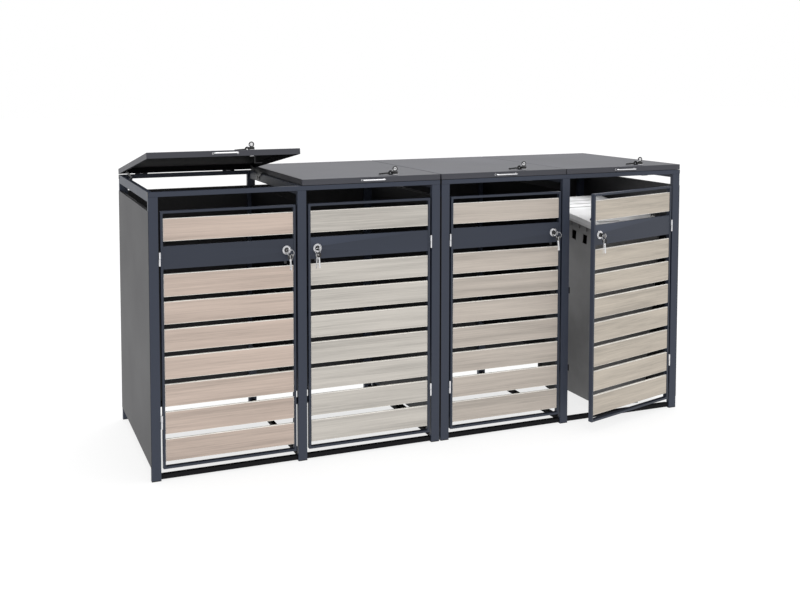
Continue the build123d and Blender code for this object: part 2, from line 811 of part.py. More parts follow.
# ------------------------------------------------------------------- wheeled bin
# Its own plane lies on the rim at the middle of the front and slopes up to the back.
bin_middle_x = bay_left(bay_count - 1) + bay_width - bin_from_right_post - bin_width / 2
bin_front_y = front + bin_from_front
slope = radians(bin_slope)
rim_middle = (bin_middle_x, bin_front_y, bin_front_height)
rim_plane = Plane(origin=rim_middle, x_dir=(1, 0, 0), z_dir=(0, -sin(slope), cos(slope)))
body_width = bin_width - 2 * bin_rim
body_depth = bin_depth * cos(slope) - 2 * bin_rim
body_front = bin_front_y + bin_rim
body_top = bin_front_height + bin_depth * sin(slope) + bin_rim_height
base_width = body_width - 2 * bin_side_taper
base_depth = body_depth - bin_front_taper - bin_back_taper
base_front = body_front + bin_front_taper
axle_y = base_front + base_depth - axle_from_back
axle_z = wheel_radius
wheel_outer = base_width / 2
wheel_inner = wheel_outer - wheel_width
bin_hinge_y = bin_depth + 2 * bin_pin_radius
arm_offset = (bin_knuckle + bin_arm + pin_clearance) / 2
arm_slot = bin_pin_radius + bin_lid_gap
bin_hinge_middles = (bin_hinge_inset - bin_width / 2, bin_width / 2 - bin_hinge_inset)


def tapered_block(wall, floor):
    """The bin's tapered volume, drawn in by a wall's thickness on its four sides."""
    with BuildSketch(Plane.XY.offset(floor)) as base:
        with Locations((bin_middle_x, base_front + base_depth / 2)):
            RectangleRounded(base_width - 2 * wall, base_depth - 2 * wall, bin_corner - wall)
    with BuildSketch(Plane.XY.offset(body_top)) as top:
        with Locations((bin_middle_x, body_front + body_depth / 2)):
            RectangleRounded(body_width - 2 * wall, body_depth - 2 * wall, bin_corner - wall)
    loft([base.sketch, top.sketch])


def clear_wheels(wall):
    """Take the wheel arches and the axle's channel out of the bin's volume."""
    reach = wheel_radius + wheel_arch_gap + wall
    for side in (-1, 1):
        inner = bin_middle_x + side * (wheel_inner - wheel_side_gap - wall)
        left = inner if side > 0 else inner - bin_width
        bar(left, axle_y - reach, 0, bin_width, bin_depth, axle_z + reach, Mode.SUBTRACT)
    channel = 2 * axle_radius + wall
    left = bin_middle_x - bin_width / 2
    bar(left, axle_y - channel, 0, bin_width, bin_depth, axle_z + channel, Mode.SUBTRACT)


with BuildPart() as bin_hollow:
    tapered_block(bin_wall, bin_floor_height + bin_wall)
    clear_wheels(bin_wall)

with BuildPart() as bin_body:
    tapered_block(0, bin_floor_height)
    clear_wheels(0)
    split(bisect_by=rim_plane, keep=Keep.BOTTOM)
    # Rim flange around the mouth, inside the skirt of the bin's lid.
    rim_inset = 2 * (bin_wall + bin_lid_gap)
    with BuildSketch(rim_plane.offset(-bin_rim_height)) as rim_outline:
        with Locations((0, bin_depth / 2)):
            RectangleRounded(bin_width - rim_inset, bin_depth - rim_inset, bin_corner)
    extrude(rim_outline.sketch, amount=bin_rim_height)
    add(bin_hollow.part, mode=Mode.SUBTRACT)
    # Hand slots under the rim on both sides, one behind the other.
    with Locations(rim_plane.location):
        for place in bin_slot_places:
            for side in (-1, 1):
                slot_x = side * (bin_width / 2 - bin_rim)
                with Locations((slot_x, place, -bin_rim_height - bin_slot_top)):
                    Box(bin_slot_depth, bin_slot_width, bin_slot_height, mode=Mode.SUBTRACT)
    # Front foot that reaches the ground behind the sill.
    foot_x = bin_middle_x - bin_foot_width / 2
    foot_y = base_front + bin_corner / 2
    bar(foot_x, foot_y, 0, bin_foot_width, bin_foot_depth, bin_floor_height + bin_wall)
    # Lugs that hold the axle in its channel.
    for side in (-1, 1):
        lug_x = bin_middle_x + side * (wheel_inner - wheel_side_gap - axle_lug / 2) - axle_lug / 2
        low = axle_z - 2 * axle_radius
        bar(lug_x, axle_y - 2 * axle_radius, low, axle_lug, 4 * axle_radius, 4 * axle_radius)
    rod(axle_radius, bin_width, (bin_middle_x, axle_y, axle_z), ALONG_X, Mode.SUBTRACT)
    # Arms behind the rim with the pins that the bin's lid turns on.
    arm_start = bin_depth - bin_wall - bin_lid_gap
    arm_depth = bin_hinge_y + bin_pin_radius - arm_start
    with Locations(rim_plane.location):
        for middle in bin_hinge_middles:
            for end in (-1, 1):
                with Locations((middle + end * arm_offset, arm_start, -bin_rim_height)):
                    Box(bin_arm, arm_depth, bin_rim_height + bin_pin_radius, align=MIDDLE_X)
            with Locations((middle, bin_hinge_y, 0)):
                Cylinder(bin_pin_radius, bin_knuckle + bin_arm, rotation=ALONG_X)
save(bin_body, "bin_body")


def lid_shell(inset, thickness, mode):
    """The bin lid's straight skirt and tapered crown, as one solid volume."""
    width = bin_width - 2 * inset
    length = bin_depth - 2 * inset
    with BuildSketch(rim_plane.offset(-bin_lid_skirt)) as skirt_outline:
        with Locations((0, bin_depth / 2)):
            RectangleRounded(width, length, bin_corner - inset)
    extrude(skirt_outline.sketch, amount=bin_lid_skirt + bin_lid_gap, mode=mode)
    with BuildSketch(rim_plane.offset(bin_lid_gap)) as crown_outline:
        with Locations((0, bin_depth / 2)):
            RectangleRounded(width, length, bin_corner - inset)
    extrude(crown_outline.sketch, amount=thickness, taper=bin_crown_taper, mode=mode)


with BuildPart() as bin_lid:
    lid_shell(0, bin_lid_crown, Mode.ADD)
    lid_shell(bin_wall, bin_lid_crown - bin_wall, Mode.SUBTRACT)
    with Locations(rim_plane.location):
        # The back edge stops at the rim, so that the lid can swing up.
        with Locations((0, bin_depth - bin_corner, -bin_lid_skirt)):
            Box(bin_width, bin_corner, bin_lid_skirt + bin_lid_gap, align=MIDDLE_X, mode=Mode.SUBTRACT)
        for middle in bin_hinge_middles:
            for end in (-1, 1):
                with Locations((middle + end * arm_offset, bin_depth - bin_corner, 0)):
                    Box(bin_arm + pin_clearance, 2 * bin_corner, arm_slot, align=MIDDLE_X, mode=Mode.SUBTRACT)
            with Locations((middle, bin_hinge_y, 0)):
                Cylinder(bin_knuckle_radius, bin_knuckle, rotation=ALONG_X)
            with Locations((middle, bin_depth - bin_wall, bin_lid_gap)):
                Box(bin_knuckle, bin_hinge_y - bin_depth + bin_wall, bin_arm, align=MIDDLE_X)
            with Locations((middle, bin_hinge_y, 0)):
                Cylinder(bin_pin_radius + bin_pin_fit, 2 * bin_knuckle, rotation=ALONG_X, mode=Mode.SUBTRACT)
save(bin_lid, "bin_lid")

with BuildPart() as bin_axle:
    rod(axle_radius, base_width, (bin_middle_x, axle_y, axle_z), ALONG_X)
save(bin_axle, "bin_axle")


def make_wheel(name, side):
    """A moulded wheel with dished sides and a raised hub, bored to turn on the axle."""
    centre = (bin_middle_x + side * (wheel_outer - wheel_width / 2), axle_y, axle_z)
    with BuildPart() as wheel:
        rod(wheel_radius, wheel_width, centre, ALONG_X)
        for face in (-1, 1):
            dish = (centre[0] + face * (wheel_width - wheel_dish) / 2, axle_y, axle_z)
            rod(wheel_radius - tyre_height, wheel_dish, dish, ALONG_X, Mode.SUBTRACT)
        rod(hub_radius, wheel_width, centre, ALONG_X)
        rod(axle_radius + axle_fit, 2 * wheel_width, centre, ALONG_X, Mode.SUBTRACT)
    save(wheel, name)


make_wheel("bin_wheel_left", -1)
make_wheel("bin_wheel_right", 1)
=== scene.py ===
"""Finishes, small fittings and studio for a four-bay recycling bin station.

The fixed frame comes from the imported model. Everything here is in metres, in its frame:
+X along the row of bays, +Y from the doors to the back, +Z up.
"""
from __future__ import annotations

import json
import logging
import math
from dataclasses import dataclass, field
from enum import Enum

import bmesh
import bpy
from mathutils import Matrix, Vector


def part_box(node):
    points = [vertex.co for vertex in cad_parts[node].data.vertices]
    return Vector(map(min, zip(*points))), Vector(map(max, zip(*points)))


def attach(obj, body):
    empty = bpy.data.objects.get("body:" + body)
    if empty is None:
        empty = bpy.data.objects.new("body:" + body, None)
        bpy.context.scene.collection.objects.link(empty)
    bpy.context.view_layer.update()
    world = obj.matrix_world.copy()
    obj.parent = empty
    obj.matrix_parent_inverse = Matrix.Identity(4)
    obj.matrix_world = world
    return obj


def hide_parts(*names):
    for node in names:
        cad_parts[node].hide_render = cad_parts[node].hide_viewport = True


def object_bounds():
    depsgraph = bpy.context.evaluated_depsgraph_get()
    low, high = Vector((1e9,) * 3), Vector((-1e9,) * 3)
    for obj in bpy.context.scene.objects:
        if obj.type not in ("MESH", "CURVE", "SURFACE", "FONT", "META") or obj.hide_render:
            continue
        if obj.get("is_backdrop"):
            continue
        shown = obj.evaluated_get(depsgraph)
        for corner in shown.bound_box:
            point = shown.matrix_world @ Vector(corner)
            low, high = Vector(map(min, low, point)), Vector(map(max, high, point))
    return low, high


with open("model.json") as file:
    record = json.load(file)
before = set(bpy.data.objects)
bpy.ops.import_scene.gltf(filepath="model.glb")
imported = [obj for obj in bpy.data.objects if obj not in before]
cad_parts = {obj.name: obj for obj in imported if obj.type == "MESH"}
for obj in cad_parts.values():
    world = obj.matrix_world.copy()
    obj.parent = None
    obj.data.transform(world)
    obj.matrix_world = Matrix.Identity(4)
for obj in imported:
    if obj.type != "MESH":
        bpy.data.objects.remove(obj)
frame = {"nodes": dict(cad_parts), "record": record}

LOG = logging.getLogger("bin_station")
X_AXIS = Vector((1, 0, 0))
Y_AXIS = Vector((0, 1, 0))
Z_AXIS = Vector((0, 0, 1))
Colour = tuple[float, float, float]
Spot = tuple[Vector, Vector]
Outline = list[tuple[float, float]]
Socket = bpy.types.NodeSocket
BAYS = (1, 2, 3, 4)
SHEET_SKIN = 0.0012
# Radius and height of the chrome rose around a door lock's flange.
ROSE = [(0.0152, -0.004), (0.0196, -0.004), (0.0196, -0.0024), (0.0188, -0.0010), (0.0176, -0.0005)]
ROSE += [(0.0163, -0.0014), (0.0152, -0.0018), (0.0152, -0.004)]


# ------------------------------------------------------------------------- finishes
class NodeBoard:
    """A material's node tree, with short calls to add and link nodes."""

    def __init__(self, name: str) -> None:
        """Start a material with a Principled shader.

        Args:
            name: the material's name.
        """
        self.material = bpy.data.materials.new(name)
        self.material.use_nodes = True
        self.tree = self.material.node_tree
        self.shader = self.tree.nodes["Principled BSDF"]

    def add(self, kind: str, **inputs: object) -> bpy.types.Node:
        """Add a node and set its inputs.

        Args:
            kind: the node's type name, without its ShaderNode prefix.
            inputs: input names, with underscores for spaces, and their values or sockets.

        Returns:
            The new node.
        """
        node = self.tree.nodes.new("ShaderNode" + kind)
        for key, value in inputs.items():
            self.plug(node, key.replace("_", " "), value)
        return node

    def plug(self, node: bpy.types.Node, socket: str, value: object) -> None:
        """Set an input to a value, or link it to another node's socket.

        Args:
            node: the node whose input it is.
            socket: the input's name.
            value: a plain value, or an output socket.
        """
        if isinstance(value, Socket):
            self.tree.links.new(value, node.inputs[socket])
        else:
            node.inputs[socket].default_value = value

    def place(self, stretch: Colour = (1, 1, 1), shift: Colour = (0, 0, 0)) -> Socket:
        """Object coordinates, scaled and shifted.

        Args:
            stretch: how often the pattern repeats per metre along each axis.
            shift: where the pattern starts.

        Returns:
            The vector socket.
        """
        coords = self.add("TexCoord").outputs["Object"]
        mapping = self.add("Mapping", Vector=coords, Scale=stretch, Location=shift)
        return mapping.outputs["Vector"]

    def noise(self, vector: Socket, scale: float, detail: float = 3.0) -> Socket:
        """Soft noise between 0 and 1.

        Args:
            vector: where to read it.
            scale: its frequency.
            detail: how many finer layers it has.

        Returns:
            The value socket.
        """
        return self.add("TexNoise", Vector=vector, Scale=scale, Detail=detail).outputs["Fac"]

    def ramp(self, value: Socket, stops: list[tuple[float, Colour]]) -> Socket:
        """Colours along a value.

        Args:
            value: the value that picks the colour.
            stops: places between 0 and 1 with their colours.

        Returns:
            The colour socket.
        """
        node = self.add("ValToRGB", Fac=value)
        band = node.color_ramp
        while len(band.elements) < len(stops):
            band.elements.new(0.5)
        for element, (place, colour) in zip(band.elements, stops):
            element.position = place
            element.color = (*colour, 1.0)
        return node.outputs["Color"]

    def span(self, value: Socket, low: float, high: float) -> Socket:
        """A value from 0 to 1 spread between two limits.

        Args:
            value: the value to spread.
            low: the result at 0.
            high: the result at 1.

        Returns:
            The result socket.
        """
        node = self.add("MapRange")
        self.plug(node, "Value", value)
        self.plug(node, "To Min", low)
        self.plug(node, "To Max", high)
        return node.outputs["Result"]

    def bump(self, height: Socket, strength: float, distance: float) -> None:
        """Raise the surface by a height.

        Args:
            height: the height socket.
            strength: how much of it shows.
            distance: its size in metres.
        """
        node = self.add("Bump", Height=height, Strength=strength, Distance=distance)
        self.plug(self.shader, "Normal", node.outputs["Normal"])

    def set(self, **inputs: object) -> None:
        """Set or link the shader's own inputs.

        Args:
            inputs: input names, with underscores for spaces, and values or sockets.
        """
        for key, value in inputs.items():
            self.plug(self.shader, key.replace("_", " "), value)


def shade(colour: Colour, factor: float) -> Colour:
    """Make a colour lighter or darker.

    Args:
        colour: the colour.
        factor: what each channel is multiplied by.

    Returns:
        The new colour.
    """
    return tuple(min(1.0, channel * factor) for channel in colour)


@dataclass(frozen=True)
class PowderCoat:
    """Fine-textured powder coat over metal, with a painted highlight that makes sharp edges a little paler.
    """

    name: str
    colour: Colour
    roughness: float = 0.46
    gloss: float = 0.5
    texture_per_metre: float = 1400.0
    cloud_per_metre: float = 3.0

    def material(self) -> bpy.types.Material:
        """Build the finish.

        Returns:
            The material.
        """
        board = NodeBoard(self.name)
        where = board.place()
        cloud = board.noise(where, self.cloud_per_metre, 5.0)
        fleck = board.noise(where, self.texture_per_metre, 2.0)
        # Painted highlight: faces on sharp, convex edges are paled towards 1.9 times the paint's colour.
        painted_edge_highlight = board.ramp(
            board.add("NewGeometry").outputs["Pointiness"], [(0.5, (0, 0, 0)), (0.62, (1, 1, 1))]
        )
        base = board.ramp(cloud, [(0.3, shade(self.colour, 0.92)), (0.7, shade(self.colour, 1.08))])
        mix = board.add("MixRGB", Fac=painted_edge_highlight, Color1=base, Color2=(*shade(self.colour, 1.9), 1.0))
        board.set(Base_Color=mix.outputs["Color"], Specular_IOR_Level=self.gloss)
        board.set(Roughness=board.span(cloud, self.roughness - 0.05, self.roughness + 0.06))
        board.bump(fleck, 0.16, 0.00012)
        return board.material


@dataclass(frozen=True)
class WoodDecor:
    """Pale oak decor: long level streaks, soft cloudy bands and a fine pore texture."""

    name: str
    colour: Colour
    start: float
    roughness: float = 0.52

    def material(self) -> bpy.types.Material:
        """Build the finish.

        Returns:
            The material.
        """
        board = NodeBoard(self.name)
        shift = (self.start, self.start * 0.37, self.start * 1.7)
        bands = board.noise(board.place((1.1, 4.0, 26.0), shift), 1.0, 4.0)
        streaks = board.noise(board.place((3.2, 20.0, 210.0), shift), 1.0, 6.0)
        pores = board.noise(board.place((22.0, 90.0, 1300.0), shift), 1.0, 2.0)
        grain = board.add("MixRGB", Fac=0.42, Color1=bands, Color2=streaks).outputs["Color"]
        grain = board.add("MixRGB", Fac=0.16, Color1=grain, Color2=pores).outputs["Color"]
        colour = board.ramp(
            grain,
            [
                (0.40, shade(self.colour, 0.78)),
                (0.47, shade(self.colour, 0.95)),
                (0.53, shade(self.colour, 1.03)),
                (0.60, shade(self.colour, 1.14)),
            ],
        )
        board.set(Base_Color=colour, Roughness=board.span(grain, self.roughness - 0.06, self.roughness + 0.1))
        board.bump(grain, 0.25, 0.0002)
        return board.material


@dataclass(frozen=True)
class PlatedMetal:
    """Plated or bare metal with faint brushing and handling marks."""

    name: str
    colour: Colour
    roughness: float
    marks_per_metre: float = 260.0

    def material(self) -> bpy.types.Material:
        """Build the finish.

        Returns:
            The material.
        """
        board = NodeBoard(self.name)
        marks = board.noise(board.place((1.0, 1.0, 6.0)), self.marks_per_metre, 4.0)
        tint = board.ramp(marks, [(0.35, shade(self.colour, 0.82)), (0.65, self.colour)])
        board.set(Base_Color=tint, Metallic=1.0)
        board.set(Roughness=board.span(marks, self.roughness * 0.7, self.roughness * 1.5))
        board.bump(marks, 0.08, 0.00006)
        return board.material


@dataclass(frozen=True)
class MouldedPlastic:
    """Moulded plastic with an eroded mould texture and light scuffs."""

    name: str
    colour: Colour
    roughness: float = 0.5
    texture_per_metre: float = 900.0

    def material(self) -> bpy.types.Material:
        """Build the finish.

        Returns:
            The material.
        """
        board = NodeBoard(self.name)
        where = board.place()
        cloud = board.noise(where, 9.0, 5.0)
        pitted = board.noise(where, self.texture_per_metre, 2.0)
        tint = board.ramp(cloud, [(0.35, shade(self.colour, 0.86)), (0.68, shade(self.colour, 1.1))])
        board.set(Base_Color=tint)
        board.set(Roughness=board.span(cloud, self.roughness - 0.07, self.roughness + 0.1))
        board.bump(pitted, 0.22, 0.00015)
        return board.material


@dataclass(frozen=True)
class StudioFloor:
    """A plain pale floor."""

    name: str = "studio_floor"
    colour: Colour = (0.25, 0.25, 0.25)
    glow: float = 0.78

    def material(self) -> bpy.types.Material:
        """Build the finish.

        Returns:
            The material.
        """
        board = NodeBoard(self.name)
        cloud = board.noise(board.place(), 0.8, 2.0)
        tint = board.ramp(cloud, [(0.3, shade(self.colour, 0.985)), (0.7, self.colour)])
        board.set(Base_Color=tint, Roughness=0.9, Specular_IOR_Level=0.2)
        board.set(Emission_Color=(1.0, 1.0, 1.0, 1.0), Emission_Strength=self.glow)
        return board.material


class Finish(Enum):
    """The station's finishes."""

    # The frame, sheet and lid finishes are one anthracite paint in lit and shaded copies: the sheet finish is
    # darker as painted shade, the lid finish lighter and glossier as painted light.
    FRAME = PowderCoat("anthracite_frame", (0.019, 0.024, 0.038), 0.46, 0.35)
    SHADED_SHEET = PowderCoat("anthracite_shaded_sheet", (0.014, 0.014, 0.016), 0.5, 0.35)
    LIT_LID = PowderCoat("anthracite_lit_lid", (0.030, 0.031, 0.040), 0.5, 0.5)
    # Near-black, low-gloss paint that stands in for shade: painted shade on the partitions, door stops and
    # the lids' insides and hems; on the base rails it is partly their own black and partly painted shade.
    SHADOW = PowderCoat("painted_shade_near_black", (0.006, 0.006, 0.007), 0.7, 0.08)
    WOOD_1 = WoodDecor("oak_decor_rose", (0.510, 0.411, 0.350), 3.1)
    WOOD_2 = WoodDecor("oak_decor_grey", (0.505, 0.475, 0.432), 11.4)
    WOOD_3 = WoodDecor("oak_decor_sand", (0.467, 0.414, 0.364), 23.9)
    WOOD_4 = WoodDecor("oak_decor_dune", (0.463, 0.410, 0.343), 37.2)
    # A pale painted highlight for the slats' chamfered edges.
    SLAT_EDGE_HIGHLIGHT = MouldedPlastic("painted_slat_edge_highlight", (0.90, 0.87, 0.81), 0.4)
    CHROME = PlatedMetal("chrome_plate", (0.80, 0.80, 0.82), 0.09)
    NICKEL = PlatedMetal("nickel_key", (0.72, 0.72, 0.73), 0.2)
    STEEL = PlatedMetal("hinge_pin_steel", (0.56, 0.56, 0.57), 0.26)
    ZINC = PlatedMetal("dark_zinc_plate", (0.07, 0.07, 0.075), 0.36)
    STAY = PowderCoat("black_stay_steel", (0.010, 0.010, 0.011), 0.42, 0.45)
    BLACK = MouldedPlastic("black_plastic", (0.010, 0.010, 0.011), 0.36)
    BIN = MouldedPlastic("bin_grey", (0.15, 0.15, 0.152), 0.5, 620.0)
    BIN_LID = MouldedPlastic("bin_lid_grey", (0.60, 0.60, 0.605), 0.48, 620.0)
    RUBBER = MouldedPlastic("tyre_rubber", (0.014, 0.014, 0.014), 0.78)


class Wardrobe:
    """Builds each finish's material once."""

    def __init__(self) -> None:
        """Start with no materials."""
        self.made: dict[Finish, bpy.types.Material] = {}

    def get(self, finish: Finish) -> bpy.types.Material:
        """The material of a finish.

        Args:
            finish: which finish.

        Returns:
            Its material, made on first use.
        """
        if finish not in self.made:
            self.made[finish] = finish.value.material()
        return self.made[finish]


WARDROBE = Wardrobe()
WOODS = {1: Finish.WOOD_1, 2: Finish.WOOD_2, 3: Finish.WOOD_3, 4: Finish.WOOD_4}


# ---------------------------------------------------------------------- mesh making
class Shape:
    """One piece's mesh, put together from parts."""

    def __init__(self) -> None:
        """Start with an empty mesh."""
        self.mesh = bmesh.new()

    def _lay(self, turn: Matrix, slot: int, before: set[bmesh.types.BMFace]) -> None:
        """Move the newest part into place and give it its material slot.

        Args:
            turn: where the part goes.
            slot: the part's material slot.
            before: the faces that were there before it.
        """
        fresh = [face for face in self.mesh.faces if face not in before]
        points = {vertex for face in fresh for vertex in face.verts}
        bmesh.ops.transform(self.mesh, matrix=turn, verts=list(points))
        for face in fresh:
            face.material_index = slot

    def block(self, low: Vector, high: Vector, slot: int = 0, turn: Matrix | None = None) -> None:
        """Add a block.

        Args:
            low: its lowest corner.
            high: its highest corner.
            slot: its material slot.
            turn: a further move, if any.
        """
        before = set(self.mesh.faces)
        size = Matrix.Diagonal((*(Vector(high) - Vector(low)), 1.0))
        bmesh.ops.create_cube(self.mesh, size=1.0)
        move = Matrix.Translation((Vector(low) + Vector(high)) / 2) @ size
        self._lay((turn or Matrix.Identity(4)) @ move, slot, before)

    def lathe(self, outline: Outline, turn: Matrix, sides: int = 40, slot: int = 0) -> None:
        """Add a turned part. A closed outline makes a ring.

        Args:
            outline: pairs of radius and height along the part's own Z axis.
            turn: where the part goes.
            sides: how many facets it has around.
            slot: its material slot.
        """
        before = set(self.mesh.faces)
        rings: list[list[bmesh.types.BMVert]] = []
        for radius, height in outline:
            if radius < 1e-7:
                rings.append([self.mesh.verts.new((0, 0, height))])
                continue
            steps = [2 * math.pi * step / sides for step in range(sides)]
            spots = [(radius * math.cos(step), radius * math.sin(step), height) for step in steps]
            rings.append([self.mesh.verts.new(spot) for spot in spots])
        for lower, upper in zip(rings, rings[1:]):
            for step in range(sides):
                after = (step + 1) % sides
                corners = [lower[step % len(lower)], lower[after % len(lower)]]
                corners += [upper[after % len(upper)], upper[step % len(upper)]]
                corners = list(dict.fromkeys(corners))
                if len(corners) > 2:
                    self.mesh.faces.new(corners)
        self._lay(turn, slot, before)

    def hoop(self, centre: Vector, first: Vector, second: Vector, wire: float, slot: int = 0) -> None:
        """Add a round wire ring.

        Args:
            centre: its middle.
            first: from the middle to the ring, one way.
            second: from the middle to the ring, at right angles to first.
            wire: the wire's radius.
            slot: its material slot.
        """
        before = set(self.mesh.faces)
        around, across = 48, 10
        normal = first.cross(second).normalized()
        rows = []
        for step in range(around):
            angle = 2 * math.pi * step / around
            out = first.normalized() * math.cos(angle) + second.normalized() * math.sin(angle)
            middle = centre + out * first.length
            row = []
            for turn_step in range(across):
                tilt = 2 * math.pi * turn_step / across
                spot = middle + wire * (out * math.cos(tilt) + normal * math.sin(tilt))
                row.append(self.mesh.verts.new(spot))
            rows.append(row)
        for step in range(around):
            ahead = rows[(step + 1) % around]
            for turn_step in range(across):
                beside = (turn_step + 1) % across
                here = rows[step]
                self.mesh.faces.new((here[turn_step], ahead[turn_step], ahead[beside], here[beside]))
        self._lay(Matrix.Identity(4), slot, before)

    def plate(self, outline: Outline, thickness: float, turn: Matrix, slot: int = 0) -> None:
        """Add a flat plate, cut to an outline in its own XZ plane.

        Args:
            outline: corners as pairs of X and Z.
            thickness: the plate's thickness along its own Y.
            turn: where the plate goes.
            slot: its material slot.
        """
        before = set(self.mesh.faces)
        half = thickness / 2
        front = [self.mesh.verts.new((x, -half, z)) for x, z in outline]
        back = [self.mesh.verts.new((x, half, z)) for x, z in outline]
        self.mesh.faces.new(front)
        self.mesh.faces.new(back[::-1])
        for step in range(len(outline)):
            after = (step + 1) % len(outline)
            self.mesh.faces.new((front[step], back[step], back[after], front[after]))
        self._lay(turn, slot, before)

    def piece(
        self, name: str, body: str, slot_name: str, finishes: list[Finish], edge: float = 0.0
    ) -> bpy.types.Object:
        """Make the scene object.

        Args:
            name: the piece's name.
            body: the CAD body it moves with.
            slot_name: the record's material slot; not used.
            finishes: the finish of each material slot.
            edge: how far its edges are rounded, in metres.

        Returns:
            The new object.
        """
        bmesh.ops.recalc_face_normals(self.mesh, faces=self.mesh.faces)
        data = bpy.data.meshes.new(name)
        self.mesh.to_mesh(data)
        self.mesh.free()
        for finish in finishes:
            data.materials.append(WARDROBE.get(finish))
        data.shade_smooth()
        data.set_sharp_from_angle(angle=math.radians(35))
        obj = bpy.data.objects.new(name, data)
        bpy.context.collection.objects.link(obj)
        if edge > 0:
            round_edges(obj, edge)
        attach(obj, body)
        LOG.info("%s on %s", name, body)
        return obj


def round_edges(obj: bpy.types.Object, width: float) -> None:
    """Round an object's sharp edges a little.

    Args:
        obj: the object.
        width: how far the rounding reaches from the edge, in metres.
    """
    weld = obj.modifiers.new("weld", "WELD")
    weld.merge_threshold = 0.00001
    bevel = obj.modifiers.new("edge", "BEVEL")
    bevel.width = width
    bevel.segments = 2
    bevel.limit_method = "ANGLE"
    bevel.angle_limit = math.radians(50)


def dress_key(node: str, past: Vector, out: Vector) -> None:
    """Give a key its nickel finish, and the cam behind the panel dark zinc as painted shade.

    Args:
        node: the CAD node's name.
        past: a point on the panel's outer face.
        out: where the key points.
    """
    dress(node, Finish.NICKEL, 0.0003)
    mesh = frame["nodes"][node].data
    # Painted shade: faces behind the panel's outer face take the dark zinc.
    mesh.materials.append(WARDROBE.get(Finish.ZINC))
    for polygon in mesh.polygons:
        polygon.material_index = 1 if (polygon.center - past).dot(out) < 0 else 0


def dress(node: str, finish: Finish, edge: float = 0.0) -> None:
    """Give a CAD node its finish.

    Args:
        node: the node's name.
        finish: its finish.
        edge: how far its edges are rounded, in metres.
    """
    obj = frame["nodes"][node]
    obj.data.materials.clear()
    obj.data.materials.append(WARDROBE.get(finish))
    if edge > 0:
        round_edges(obj, edge)
    LOG.info("%s in %s", node, finish.value.name)


# ---------------------------------------------------------------- places in the frame
def joint(name: str) -> dict:
    """Look up a joint's entry in the record.

    Args:
        name: the joint's name.

    Returns:
        The entry.
    """
    return next(entry for entry in frame["record"]["behaviour"]["joints"] if entry["name"] == name)


def opened(name: str) -> Matrix:
    """The move that carries a door or lid from closed to where it stands at rest.

    Args:
        name: the name of its hinge joint.

    Returns:
        The move.
    """
    hinge = joint(name)
    angle = -math.radians(min(0.0, hinge["range_deg"][0]))
    place = Matrix.Translation(hinge["pos_m"])
    return place @ Matrix.Rotation(angle, 4, Vector(hinge["axis"])) @ place.inverted()


def solid_boxes(node: str, turn: Matrix | None = None) -> list[Spot]:
    """The boxes of a CAD node's separate solids.

    Args:
        node: the node's name.
        turn: the move to undo first, so that a turned leaf's boxes are square to it.

    Returns:
        Lowest and highest corners, sorted from low to high.
    """
    back = (turn or Matrix.Identity(4)).inverted()
    mesh = bmesh.new()
    mesh.from_mesh(frame["nodes"][node].data)
    bmesh.ops.remove_doubles(mesh, verts=mesh.verts, dist=1e-5)
    left = set(mesh.verts)
    boxes = []
    while left:
        stack = [left.pop()]
        low, high = Vector((1e9,) * 3), Vector((-1e9,) * 3)
        while stack:
            vertex = stack.pop()
            spot = back @ vertex.co
            low = Vector(map(min, low, spot))
            high = Vector(map(max, high, spot))
            for edge in vertex.link_edges:
                other = edge.other_vert(vertex)
                if other in left:
                    left.remove(other)
                    stack.append(other)
        boxes.append((low, high))
    mesh.free()
    return sorted(boxes, key=lambda pair: (round(pair[0].z, 4), round(pair[0].x, 4)))


def whole_box(node: str, turn: Matrix) -> Spot:
    """A CAD node's box in its closed place.

    Args:
        node: the node's name.
        turn: the move to undo first.

    Returns:
        Lowest and highest corner.
    """
    back = turn.inverted()
    spots = [back @ vertex.co for vertex in frame["nodes"][node].data.vertices]
    low = Vector(min(spot[axis] for spot in spots) for axis in range(3))
    high = Vector(max(spot[axis] for spot in spots) for axis in range(3))
    return low, high


def facing(spot: Vector, out: Vector) -> Matrix:
    """The place of a part whose own Z axis points out from a spot.

    Args:
        spot: where its origin goes.
        out: where its Z axis points.

    Returns:
        The move.
    """
    return Matrix.Translation(spot) @ out.to_track_quat("Z", "Y").to_matrix().to_4x4()


def dome(radius: float, height: float) -> Outline:
    """The outline of a rivet's or screw's rounded head.

    Args:
        radius: its radius.
        height: how far it stands out.

    Returns:
        Radius and height pairs, from the seat to the tip.
    """
    steps = [step * math.pi / 10 for step in range(6)]
    return [(radius, -height / 4)] + [(radius * math.cos(step), height * math.sin(step)) for step in steps]


